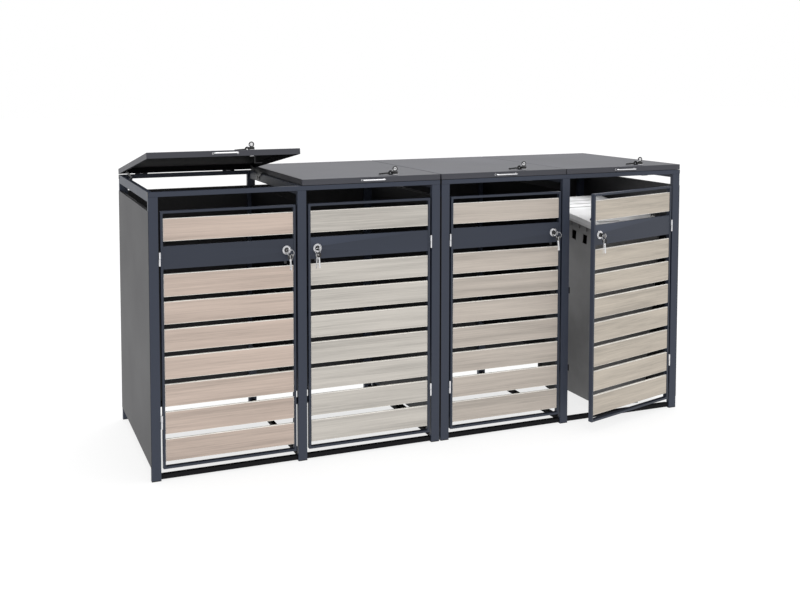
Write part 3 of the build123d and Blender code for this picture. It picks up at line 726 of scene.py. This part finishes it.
# ------------------------------------------------------------------------- the pieces
@dataclass
class Cabinet:
    """The fixed frame, sheets and hardware."""

    tube_edge: float = 0.0012
    sheet_edge: float = 0.0004
    hardware_edge: float = 0.0003
    hem_height: float = 0.012
    hem_proud: float = 0.0008
    hem_inset: float = 0.021
    rivet_radius: float = 0.0042
    rivet_height: float = 0.0022
    screw_spread: float = 0.018
    bracket_leaf: float = 0.002
    cap_radius: float = 0.0039
    cap_height: float = 0.0018
    cap_gap: float = 0.0003
    finishes: dict[str, Finish] = field(
        default_factory=lambda: {
            "front_posts": Finish.FRAME,
            "back_posts": Finish.FRAME,
            "top_rails": Finish.FRAME,
            "depth_rails": Finish.FRAME,
            # Base rails and door stops take the near-black painted shade.
            "base_rails": Finish.SHADOW,
            "door_stops": Finish.SHADOW,
        }
    )

    def dress_frame(self) -> None:
        """Give tubes, sheets, caps and hardware their finishes."""
        for node, finish in self.finishes.items():
            dress(node, finish, self.tube_edge if node != "door_stops" else self.hardware_edge)
        for node in ("side_panels", "back_panels"):
            # Side and back sheets take the darker copy of the anthracite paint: painted shade.
            dress(node, Finish.SHADED_SHEET, self.sheet_edge)
        # The partitions take the near-black painted shade.
        dress("partition_panels", Finish.SHADOW, self.sheet_edge)
        dress("tube_caps", Finish.BLACK, self.hardware_edge)
        dress("joining_bolts", Finish.ZINC, self.hardware_edge)
        dress("stay_frame_brackets", Finish.STAY, self.hardware_edge)
        dress("door_hinge_posts", Finish.CHROME, self.hardware_edge)
        dress("lid_hinge_backs", Finish.ZINC, self.hardware_edge)
        dress("hinge_pins", Finish.STEEL)

    def build_side_hems(self) -> None:
        """Fold a safe hem along the inside of each side panel's lower edge."""
        shape = Shape()
        for low, high in solid_boxes("side_panels"):
            inward = 1 if self._opens_right(low) else -1
            inner = (low.x if inward > 0 else high.x) + inward * SHEET_SKIN
            edge = inner + inward * self.hem_proud
            shape.block(
                Vector((min(inner, edge), low.y + self.hem_inset, low.z)),
                Vector((max(inner, edge), high.y - self.hem_inset, low.z + self.hem_height)),
            )
        # The hems take the sheets' darker copy of the paint: painted shade.
        shape.piece("side_panel_hems", "station", "panel_paint", [Finish.SHADED_SHEET])

    @staticmethod
    def _opens_right(low: Vector) -> bool:
        """Whether a side sheet's folded edge reaches towards +X.

        Args:
            low: the sheet's lowest corner.

        Returns:
            True for the left sheet of a unit.
        """
        skins = [box[0].x for box in solid_boxes("back_panels")]
        return any(abs(low.x + SHEET_SKIN - skin) < SHEET_SKIN / 2 for skin in skins)

    def build_bracket_screws(self) -> None:
        """Put two screw heads on each of the stays' frame brackets."""
        shape = Shape()
        for low, high in solid_boxes("stay_frame_brackets"):
            inward = self._inward(low)
            face = (low.x if inward > 0 else high.x) + inward * self.bracket_leaf
            middle = (low + high) / 2
            for side in (-1, 1):
                spot = Vector((face, middle.y + side * self.screw_spread, middle.z))
                shape.lathe(dome(self.rivet_radius, self.rivet_height), facing(spot, X_AXIS * inward), 24)
        shape.piece("stay_bracket_screws", "station", "zinc_steel", [Finish.STEEL])

    @staticmethod
    def _inward(low: Vector) -> int:
        """Which way a bracket faces into its bay.

        Args:
            low: the bracket's lowest corner.

        Returns:
            +1 on the bay's left wall, -1 on its right wall.
        """
        return 1 if any(abs(rail[1].x - low.x) < 0.0005 for rail in solid_boxes("depth_rails")) else -1

    def build_hinge_caps(self) -> None:
        """Close both ends of every door hinge's barrel with a small dome."""
        pins = [box for box in solid_boxes("hinge_pins") if box[1].z - box[0].z > 0.03]
        shape = Shape()
        for low, high in pins:
            middle = (low + high) / 2
            for end, out in ((low.z, -1), (high.z, 1)):
                spot = Vector((middle.x, middle.y, end + out * self.cap_gap))
                shape.lathe(dome(self.cap_radius, self.cap_height), facing(spot, Z_AXIS * out), 24)
        shape.piece("door_hinge_caps", "station", "chrome", [Finish.CHROME])

    def build(self) -> None:
        """Dress and add everything that stands still."""
        self.dress_frame()
        self.build_side_hems()
        self.build_bracket_screws()
        self.build_hinge_caps()


@dataclass(frozen=True)
class SpareKey:
    """A flat key with a round bow and a notched blade."""

    bow: float = 0.0115
    hole: float = 0.0034
    thickness: float = 0.002
    neck: float = 0.008
    blade: float = 0.040
    blade_width: float = 0.0072
    notches: int = 5

    def outline(self) -> Outline:
        """The neck and the notched blade, hanging down from the bow.

        Returns:
            Corners as pairs of X and Z.
        """
        half = self.blade_width / 2
        top = -self.bow + 0.001
        start = top - self.neck
        end = start - self.blade
        points = [(-half, top), (-half, end + half), (0, end)]
        pitch = (self.blade - half) / self.notches
        for notch in range(self.notches):
            low = end + half + notch * pitch
            depth = half * (0.35 + 0.4 * ((notch * 2) % 3) / 2)
            points += [(half, low + pitch * 0.15), (half - depth, low + pitch * 0.5)]
            points += [(half, low + pitch * 0.85)]
        return points + [(half, top)]

    def add_to(self, shape: Shape, turn: Matrix, bow_slot: int, blade_slot: int) -> None:
        """Add the key to a piece. Its own origin is the middle of the bow.

        Args:
            shape: the piece.
            turn: where the key goes.
            bow_slot: the bow's material slot.
            blade_slot: the blade's material slot.
        """
        half = self.thickness / 2
        chamfer = self.thickness * 0.25
        ring = [
            (self.hole, -half),
            (self.bow - chamfer, -half),
            (self.bow, chamfer - half),
            (self.bow, half - chamfer),
            (self.bow - chamfer, half),
            (self.hole, half),
            (self.hole, -half),
        ]
        shape.lathe(ring, turn @ Matrix.Rotation(math.pi / 2, 4, "X"), 32, bow_slot)
        shape.plate(self.outline(), self.thickness * 0.8, turn, blade_slot)


@dataclass(frozen=True)
class LockTrim:
    """The black sleeve, key ring and spare keys on a cam lock."""

    sleeve_radius: float = 0.0098
    sleeve_bore: float = 0.0058
    sleeve_height: float = 0.009
    collar_radius: float = 0.0136
    collar_height: float = 0.0016
    bow_radius: float = 0.011
    ring_radius: float = 0.0135
    ring_wire: float = 0.0008
    key: SpareKey = SpareKey()

    def add_sleeve(self, shape: Shape, seat: Vector, out: Vector, turn: Matrix) -> None:
        """Add a domed collar and a sleeve around the key's neck.

        Args:
            shape: the piece.
            seat: the middle of the lock's outer face, in the closed place.
            out: where the key points.
            turn: the move from closed to rest.
        """
        place = turn @ facing(seat, out)
        bore, rim, top = self.sleeve_bore, self.collar_radius, self.collar_height
        collar = [(self.sleeve_radius, 0), (rim, 0), (rim, top * 0.4), (rim - 0.0012, top)]
        collar += [(self.sleeve_radius + 0.0006, top * 0.8), (self.sleeve_radius, 0)]
        shape.lathe(collar, place, 48, 0)
        round_off = 0.0012
        radius, height = self.sleeve_radius, self.sleeve_height
        sleeve = [(bore, 0), (radius, 0), (radius, height - round_off)]
        sleeve += [(radius - round_off, height), (bore, height), (bore, 0)]
        shape.lathe(sleeve, place, 40, 1)

    def hang_ring(self, hole: Vector, towards: Vector, along: Vector, turn: Matrix) -> tuple[Shape, Vector]:
        """Hang the wire ring from the hole in a key's bow.

        Args:
            hole: the middle of the hole, in the closed place.
            towards: a unit vector from the hole to the ring's middle.
            along: a unit vector in the ring's plane, at right angles to it.
            turn: the move from closed to rest.

        Returns:
            The new shape, and the ring's middle in the closed place.
        """
        centre = hole + towards * self.ring_radius
        spin = turn.to_3x3()
        shape = Shape()
        first, second = spin @ towards * self.ring_radius, spin @ along * self.ring_radius
        shape.hoop(turn @ centre, first, second, self.ring_wire)
        return shape, centre

    def lowest(self, centre: Vector, towards: Vector, along: Vector, swing: float) -> Vector:
        """A point near the lowest point of the ring.

        Args:
            centre: the ring's middle.
            towards: a unit vector in the ring's plane.
            along: another, at right angles to it.
            swing: the angle from the lowest point, in degrees.

        Returns:
            The point on the wire.
        """
        down = -(towards * towards.z + along * along.z).normalized()
        across = down.cross(towards.cross(along)).normalized()
        angle = math.radians(swing)
        return centre + (down * math.cos(angle) + across * math.sin(angle)) * self.ring_radius


@dataclass
class Door:
    """One slatted door with its lock and hinges."""

    number: int
    chamfer: float = 0.0022
    trim: LockTrim = LockTrim()
    tube_edge: float = 0.0008
    stile: float = 0.010
    weld_leg: float = 0.003
    weld_throat: float = 0.0012

    def __post_init__(self) -> None:
        """Find the door's place and which way it opens."""
        self.body = f"door_{self.number}"
        self.turn = opened(f"door_{self.number}_hinge")
        self.lock_side = 1 if self.number % 2 == 1 else -1
        lock = joint(f"door_{self.number}_lock")
        self.lock = self.turn.inverted() @ Vector(lock["pos_m"])

    def dress(self) -> None:
        """Give the door's CAD nodes their finishes."""
        dress(f"{self.body}_frame", Finish.FRAME, self.tube_edge)
        dress(f"{self.body}_lock_panel", Finish.FRAME, 0.0006)
        dress(f"{self.body}_fittings", Finish.CHROME, 0.0003)
        dress_key(f"{self.body}_key", Vector(self.turn @ self.lock), self.turn.to_3x3() @ -Y_AXIS)

    def board(self, low: Vector, high: Vector) -> Shape:
        """A slat with a wood face and chamfered edges all round its front, painted pale as a highlight.

        Args:
            low: its lowest corner in the closed place.
            high: its highest corner in the closed place.

        Returns:
            The shape.
        """
        shape = Shape()
        mesh = shape.mesh
        inset = self.chamfer

        def loop(y: float, cut: float) -> list[bmesh.types.BMVert]:
            """Lay the four corners of the slat's outline at one depth.

            Args:
                y: the depth.
                cut: how far the corners are drawn in.

            Returns:
                The corners, anticlockwise seen from the front.
            """
            corners = [
                (low.x + cut, low.z + cut),
                (high.x - cut, low.z + cut),
                (high.x - cut, high.z - cut),
                (low.x + cut, high.z - cut),
            ]
            return [mesh.verts.new(self.turn @ Vector((x, y, z))) for x, z in corners]

        depths = [(low.y, inset), (low.y + inset, 0.0), (high.y - inset, 0.0), (high.y, inset)]
        loops = [loop(y, cut) for y, cut in depths]
        mesh.faces.new(loops[0][::-1])
        mesh.faces.new(loops[-1])
        for near, far in zip(loops, loops[1:]):
            for step in range(4):
                after = (step + 1) % 4
                face = mesh.faces.new((near[step], near[after], far[after], far[step]))
                # The chamfers and side faces take the pale painted highlight.
                face.material_index = 1
        return shape

    def build_slats(self) -> None:
        """Lay the slats in place of the CAD node."""
        wood = WOODS[self.number]
        for row, (low, high) in enumerate(solid_boxes(f"{self.body}_slats", self.turn), start=1):
            slat = self.board(low, high)
            obj = slat.piece(f"{self.body}_slat_{row}", self.body, "slat_wood", [wood, Finish.SLAT_EDGE_HIGHLIGHT])
            if row == 1:
                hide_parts(f"{self.body}_slats")

    def build_lock(self) -> None:
        """Add the lock's collar, sleeve, ring and hanging spare keys."""
        trim = self.trim
        low, _ = whole_box(f"{self.body}_key", self.turn)
        panel, _ = whole_box(f"{self.body}_lock_panel", self.turn)
        seat = Vector((self.lock.x, panel.y - 0.004, self.lock.z))
        shape = Shape()
        trim.add_sleeve(shape, seat, -Y_AXIS, self.turn)
        shape.lathe(ROSE, self.turn @ facing(seat, -Y_AXIS), 56)
        shape.piece(f"{self.body}_lock_trim", self.body, "chrome", [Finish.CHROME, Finish.BLACK])
        hole = Vector((self.lock.x, low.y + trim.bow_radius, self.lock.z))
        towards = Vector((self.lock_side, -0.45, -1)).normalized()
        along = Vector((self.lock_side, 0, 1)).normalized()
        ring, centre = trim.hang_ring(hole, towards, along, self.turn)
        for swing, twist, lean, bow_slot in ((-13, 38, 6, 0), (15, 142, -5, 1)):
            spot = trim.lowest(centre, towards, along, swing)
            turn = Matrix.Translation(spot)
            turn @= Matrix.Rotation(math.radians(lean), 4, "Y") @ Matrix.Rotation(math.radians(twist), 4, "Z")
            turn @= Matrix.Translation((0, 0, -trim.key.hole * 0.7))
            trim.key.add_to(ring, self.turn @ turn, bow_slot, 0)
        ring.piece(f"{self.body}_spare_keys", self.body, "key_steel", [Finish.NICKEL, Finish.BLACK])

    def build_welds(self) -> None:
        """Lay a small fillet of weld in the frame's four inner corners, front and back."""
        low, high = whole_box(f"{self.body}_frame", self.turn)
        leg, throat = self.weld_leg, self.weld_throat
        shape = Shape()
        for x, side_x in ((low.x + self.stile, 1), (high.x - self.stile, -1)):
            for z, side_z in ((low.z + self.stile, 1), (high.z - self.stile, -1)):
                spot = Vector((x, (low.y + high.y) / 2, z))
                outline = [(0, 0), (side_x * leg, 0), (side_x * throat, side_z * throat), (0, side_z * leg)]
                place = self.turn @ Matrix.Translation(spot)
                shape.plate(outline, (high.y - low.y) * 0.96, place)
        shape.piece(f"{self.body}_corner_welds", self.body, "frame_paint", [Finish.FRAME], 0.0003)

    def build(self) -> None:
        """Dress the door and add its pieces."""
        self.dress()
        self.build_slats()
        self.build_lock()
        self.build_welds()


@dataclass
class Lid:
    """One sheet-metal lid with its handle, lock, hinges and stays."""

    number: int
    trim: LockTrim = LockTrim(sleeve_radius=0.0125, sleeve_height=0.012)
    sheet_edge: float = 0.0005
    rivet_radius: float = 0.0046
    rivet_height: float = 0.0018
    hem_width: float = 0.010
    hem_thickness: float = 0.001
    head_bore: float = 0.0078
    head_radius: float = 0.0122
    head_half: float = 0.0019
    head_round: float = 0.0008

    def __post_init__(self) -> None:
        """Find the lid's place."""
        self.body = f"lid_{self.number}"
        self.turn = opened(f"lid_{self.number}_hinge")
        lock = joint(f"lid_{self.number}_lock")
        self.lock = self.turn.inverted() @ Vector(lock["pos_m"])

    def dress(self) -> None:
        """Give the lid's CAD nodes their finishes."""
        # The lid takes the lighter copy of the anthracite paint: painted light.
        dress(f"{self.body}_panel", Finish.LIT_LID, self.sheet_edge)
        self.paint_shade_inside()
        dress(f"{self.body}_fittings", Finish.CHROME, 0.0003)
        dress_key(f"{self.body}_key", Vector(self.turn @ self.lock), self.turn.to_3x3() @ Z_AXIS)
        dress(f"{self.body}_stay_lower_arms", Finish.STAY, 0.0003)
        dress(f"{self.body}_stay_upper_arms", Finish.STAY, 0.0003)

    def build_lock(self) -> None:
        """Add the lock's collar, sleeve, ring and the spare key that lies beside it."""
        trim = self.trim
        _, panel = whole_box(f"{self.body}_panel", self.turn)
        _, key = whole_box(f"{self.body}_key", self.turn)
        seat = Vector((self.lock.x, self.lock.y, panel.z + 0.004))
        shape = Shape()
        trim.add_sleeve(shape, seat, Z_AXIS, self.turn)
        shape.piece(f"{self.body}_lock_trim", self.body, "black_plastic", [Finish.BLACK, Finish.BLACK])
        hole = Vector((self.lock.x, self.lock.y, key.z - trim.bow_radius))
        towards = Vector((-0.5, 0.5, -math.sqrt(0.5)))
        along = Vector((1, 1, 0)).normalized()
        ring, centre = trim.hang_ring(hole, towards, along, self.turn)
        spot = centre + towards * trim.ring_radius
        length = trim.key.bow + trim.key.neck + trim.key.blade
        drop = spot.z - panel.z - trim.key.blade_width * 0.6
        slope = math.asin(max(-0.9, min(0.9, drop / length)))
        turn = Matrix.Translation(spot) @ Matrix.Rotation(math.pi / 2 - slope, 4, "Y")
        turn @= Matrix.Translation((0, 0, -trim.key.hole * 0.7))
        trim.key.add_to(ring, self.turn @ turn, 1, 1)
        ring.piece(f"{self.body}_spare_key", self.body, "key_steel", [Finish.NICKEL, Finish.BLACK])

    def paint_shade_inside(self) -> None:
        """Give the faces inside the lid's tray the near-black paint as painted shade."""
        mesh = frame["nodes"][f"{self.body}_panel"].data
        mesh.materials.append(WARDROBE.get(Finish.SHADOW))
        low, high = whole_box(f"{self.body}_panel", self.turn)
        back = self.turn.inverted()
        margin = SHEET_SKIN / 2
        for polygon in mesh.polygons:
            spot = back @ polygon.center
            beside = low.x + margin < spot.x < high.x - margin and low.y + margin < spot.y < high.y - margin
            polygon.material_index = int(beside and low.z + margin < spot.z < high.z - margin)

    def build_key_head(self) -> None:
        """Add the black plastic rim around the bow of the lid's own key."""
        _, key = whole_box(f"{self.body}_key", self.turn)
        hole = Vector((self.lock.x, self.lock.y, key.z - self.trim.bow_radius))
        inner, outer, half, off = self.head_bore, self.head_radius, self.head_half, self.head_round
        outline = [(inner, -half), (outer - off, -half), (outer, off - half), (outer, half - off)]
        outline += [(outer - off, half), (inner, half), (inner, -half)]
        shape = Shape()
        shape.lathe(outline, self.turn @ facing(hole, Y_AXIS), 36)
        shape.piece(f"{self.body}_key_head", f"{self.body}_key_cam", "key_steel", [Finish.BLACK])

    def build_hem(self) -> None:
        """Fold a hem inwards along the lid's lower edges."""
        low, high = whole_box(f"{self.body}_panel", self.turn)
        skin, width = SHEET_SKIN, self.hem_width
        top = low.z + self.hem_thickness
        shape = Shape()
        for y in (low.y + skin, high.y - skin - width):
            ends = Vector((low.x + skin + width, y, low.z)), Vector((high.x - skin - width, y + width, top))
            shape.block(*ends, 0, self.turn)
        for x in (low.x + skin, high.x - skin - width):
            ends = Vector((x, low.y + skin + width, low.z)), Vector((x + width, high.y - skin - width, top))
            shape.block(*ends, 0, self.turn)
        # The hem sits inside the lid and takes the near-black painted shade.
        shape.piece(f"{self.body}_hem", self.body, "panel_paint", [Finish.SHADOW])

    def build_rivets(self) -> None:
        """Put a rivet head on every pivot of the lid's two stays."""
        head = dome(self.rivet_radius, self.rivet_height)
        for part, place, body in (("lower", "frame", "station"), ("upper", "lid", self.body)):
            pivot = Vector(joint(f"{self.body}_stay_{part}")["pos_m"])
            shape = Shape()
            for low, high in solid_boxes(f"{self.body}_stay_{part}_arms"):
                inward = self._inward(low, high)
                face = high.x if inward > 0 else low.x
                spot = Vector((face, pivot.y, pivot.z))
                shape.lathe(head, facing(spot, X_AXIS * inward), 24)
            shape.piece(f"{self.body}_{place}_stay_rivets", body, "zinc_steel", [Finish.STEEL])

    def _inward(self, low: Vector, high: Vector) -> int:
        """Which way a stay arm's outer face looks into the bay.

        Args:
            low: the arm's lowest corner.
            high: its highest corner.

        Returns:
            +1 on the left side of the lid, -1 on the right.
        """
        middle = Vector(joint(f"{self.body}_hinge")["pos_m"]).x
        return 1 if (low.x + high.x) / 2 < middle else -1

    def build(self) -> None:
        """Dress the lid and add its pieces."""
        self.dress()
        self.build_lock()
        self.build_key_head()
        self.build_hem()
        self.build_rivets()


@dataclass
class WheeledBin:
    """The bin that stands in the fourth bay."""

    slope: float = math.radians(7.0)
    rib_width: float = 0.004
    rib_height: float = 0.022
    rib_pitch: float = 0.062
    step_count: int = 3
    step_pitch: float = 0.062
    step_depth: float = 0.03
    step_start: float = 0.085
    lid_top: float = 0.019
    sunk: float = 0.002
    grip_width: float = 0.12
    bow_radius: float = 0.020
    bow_wire: float = 0.0028
    cap_radius: float = 0.019
    cap_height: float = 0.005

    def __post_init__(self) -> None:
        """Find the rim's place."""
        self.rim_low, self.rim_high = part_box("bin_body")
        self.lid_low, self.lid_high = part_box("bin_lid")
        hinge = joint("bin_lid_hinge")["pos_m"]
        self.axis = Vector(hinge)
        self.middle = self.axis.x
        self.tilt = Matrix.Translation(self.axis) @ Matrix.Rotation(self.slope, 4, "X")

    def dress(self) -> None:
        """Give the bin's CAD nodes their finishes."""
        dress("bin_body", Finish.BIN, 0.0012)
        dress("bin_lid", Finish.BIN_LID, 0.0012)
        dress("bin_axle", Finish.ZINC, 0.0006)
        for side in ("left", "right"):
            dress(f"bin_wheel_{side}", Finish.RUBBER, 0.0015)

    def build_lid_steps(self) -> None:
        """Raise stepped ribs across the lid and a small block at its front."""
        shape = Shape()
        width = (self.lid_high.x - self.lid_low.x) / 2 - 0.03
        base = self.lid_top - self.sunk
        for step in range(self.step_count):
            start = -self.step_start - self.step_pitch * step
            side = width - 0.02 * step
            low = Vector((-side, start - self.step_depth, base))
            shape.block(low, Vector((side, start, self.lid_top + 0.004)), 0, self.tilt)
        front = -self.lid_length() + 0.045
        left = -width * 0.9
        low = Vector((left, front, base))
        shape.block(low, Vector((left + self.grip_width, front + 0.02, self.lid_top + 0.005)), 0, self.tilt)
        shape.piece("bin_lid_ribs", "bin_lid", "bin_lid_plastic", [Finish.BIN_LID], 0.002)

    def lid_length(self) -> float:
        """The lid's length along its slope."""
        return (self.lid_high.y - self.lid_low.y) / math.cos(self.slope)

    def build_grips(self) -> None:
        """Add a black bow grip near each front corner of the lid."""
        shape = Shape()
        half = (self.lid_high.x - self.lid_low.x) / 2 - 0.034
        for side in (-1, 1):
            centre = self.tilt @ Vector((side * half, 0.075 - self.lid_length(), 0.014))
            across = self.tilt.to_3x3() @ Y_AXIS
            up = self.tilt.to_3x3() @ Z_AXIS
            shape.hoop(centre, across * self.bow_radius, up * self.bow_radius, self.bow_wire)
        shape.piece("bin_lid_grips", "bin_lid", "black_plastic", [Finish.BLACK])

    def build_rim_ribs(self) -> None:
        """Stand short ribs under the rim, along both sides."""
        shape = Shape()
        start, end = self.rim_low.y + 0.07, self.rim_high.y - 0.09
        half = (self.rim_high.x - self.rim_low.x) / 2
        count = int((end - start) / self.rib_pitch)
        for step in range(count + 1):
            y = start + step * self.rib_pitch
            z = self.axis.z + (y - self.axis.y) * math.tan(self.slope) - 0.014
            for side in (-1, 1):
                outer = self.middle + side * (half - 0.001)
                inner = self.middle + side * (half - 0.008)
                shape.block(
                    Vector((min(inner, outer), y, z - self.rib_height)),
                    Vector((max(inner, outer), y + self.rib_width, z + 0.001)),
                )
        shape.piece("bin_rim_ribs", "station", "bin_plastic", [Finish.BIN], 0.0006)

    def build_wheel_caps(self) -> None:
        """Close each wheel's hub with a domed cap over the axle's end."""
        for side, name in ((-1, "left"), (1, "right")):
            low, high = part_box(f"bin_wheel_{name}")
            face = low.x if side < 0 else high.x
            spot = Vector((face, (low.y + high.y) / 2, (low.z + high.z) / 2))
            shape = Shape()
            shape.lathe(dome(self.cap_radius, self.cap_height), facing(spot, X_AXIS * side), 40)
            shape.piece(f"bin_hub_cap_{name}", f"bin_wheel_{name}", "black_plastic", [Finish.BLACK])

    def build(self) -> None:
        """Dress the bin and add its pieces."""
        self.dress()
        self.build_lid_steps()
        self.build_grips()
        self.build_rim_ribs()
        self.build_wheel_caps()


@dataclass
class Studio:
    """The floor, the lights and the camera."""

    floor_half: float = 40.0
    floor_drop: float = 0.0006
    sky: Colour = (1.0, 1.0, 1.0)
    sky_strength: float = 1.0
    lamp_watts: float = 120.0
    bay_watts: float = 1.2
    side_watts: float = 0.55
    camera_spot: Colour = (-1.9864, -4.2345, 1.6453)
    yaw: float = 0.3406
    pitch: float = 0.0588
    roll: float = -0.0042
    lens: float = 43.04
    shift: tuple[float, float] = (0.1135, -0.2039)

    def build_floor(self) -> None:
        """Lay the floor just under the feet."""
        data = bpy.data.meshes.new("studio_floor")
        ways = ((-1, -1), (1, -1), (1, 1), (-1, 1))
        spots = [(x * self.floor_half, y * self.floor_half, -self.floor_drop) for x, y in ways]
        data.from_pydata(spots, [], [(0, 1, 2, 3)])
        data.materials.append(StudioFloor().material())
        floor = bpy.data.objects.new("studio_floor", data)
        bpy.context.collection.objects.link(floor)
        floor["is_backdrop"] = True

    def build_light(self) -> None:
        """Light the object evenly, with a soft box above and two small lamps in the fourth bay."""
        world = bpy.data.worlds.new("studio")
        world.use_nodes = True
        background = world.node_tree.nodes["Background"]
        background.inputs["Color"].default_value = (*self.sky, 1.0)
        background.inputs["Strength"].default_value = self.sky_strength
        bpy.context.scene.world = world
        self.hang_lamp("soft_box", (0.4, 0.6, 5.0), (0, 0.2, 1.2), 3.5, self.lamp_watts)
        self.hang_lamp("bay_lamp", (0.97, -0.05, 1.15), (0.97, -0.1, 0.9), 0.4, self.bay_watts)
        self.hang_lamp("bin_lamp", (0.692, -0.12, 0.62), (1.0, -0.18, 0.6), 0.5, self.side_watts)

    def hang_lamp(self, name: str, spot: Colour, target: Colour, size: float, watts: float) -> None:
        """Hang a square soft light.

        Args:
            name: the light's name.
            spot: where it hangs.
            target: where it points.
            size: its side length in metres.
            watts: its power.
        """
        lamp = bpy.data.lights.new(name, "AREA")
        lamp.energy = watts
        lamp.size = size
        obj = bpy.data.objects.new(name, lamp)
        obj.location = spot
        obj.rotation_euler = (Vector(target) - Vector(spot)).to_track_quat("-Z", "Y").to_euler()
        bpy.context.collection.objects.link(obj)

    def build_camera(self) -> None:
        """Stand the camera in front of the left end, looking along the row."""
        level = math.cos(self.pitch)
        ahead = Vector((math.sin(self.yaw) * level, math.cos(self.yaw) * level, -math.sin(self.pitch)))
        data = bpy.data.cameras.new("camera")
        data.sensor_width = 36.0
        data.lens = self.lens
        data.shift_x, data.shift_y = self.shift
        data.clip_end = 200.0
        camera = bpy.data.objects.new("camera", data)
        camera.location = self.camera_spot
        aim = ahead.to_track_quat("-Z", "Y").to_matrix() @ Matrix.Rotation(self.roll, 3, "Z")
        camera.rotation_euler = aim.to_euler()
        bpy.context.collection.objects.link(camera)
        bpy.context.scene.camera = camera

    def build(self) -> None:
        """Build the floor, lights and camera."""
        bpy.context.scene.view_settings.view_transform = "Standard"
        self.build_floor()
        self.build_light()
        self.build_camera()


def corners(bounds: Spot) -> list[list[float]]:
    """Turn a box's corners into plain lists of numbers.

    Args:
        bounds: its lowest and highest corner.

    Returns:
        The two lists.
    """
    return [list(map(float, corner)) for corner in bounds]


def main(cad_bounds: Spot) -> None:
    """Build the whole scene, piece by piece.

    Args:
        cad_bounds: the CAD model's box, taken straight after loading; not used.
    """
    logging.basicConfig(level=logging.INFO, format="%(name)s: %(message)s")
    Studio().build()
    Cabinet().build()
    for number in BAYS:
        Door(number).build()
        Lid(number).build()
    WheeledBin().build()


if __name__ == "__main__":
    main(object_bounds())
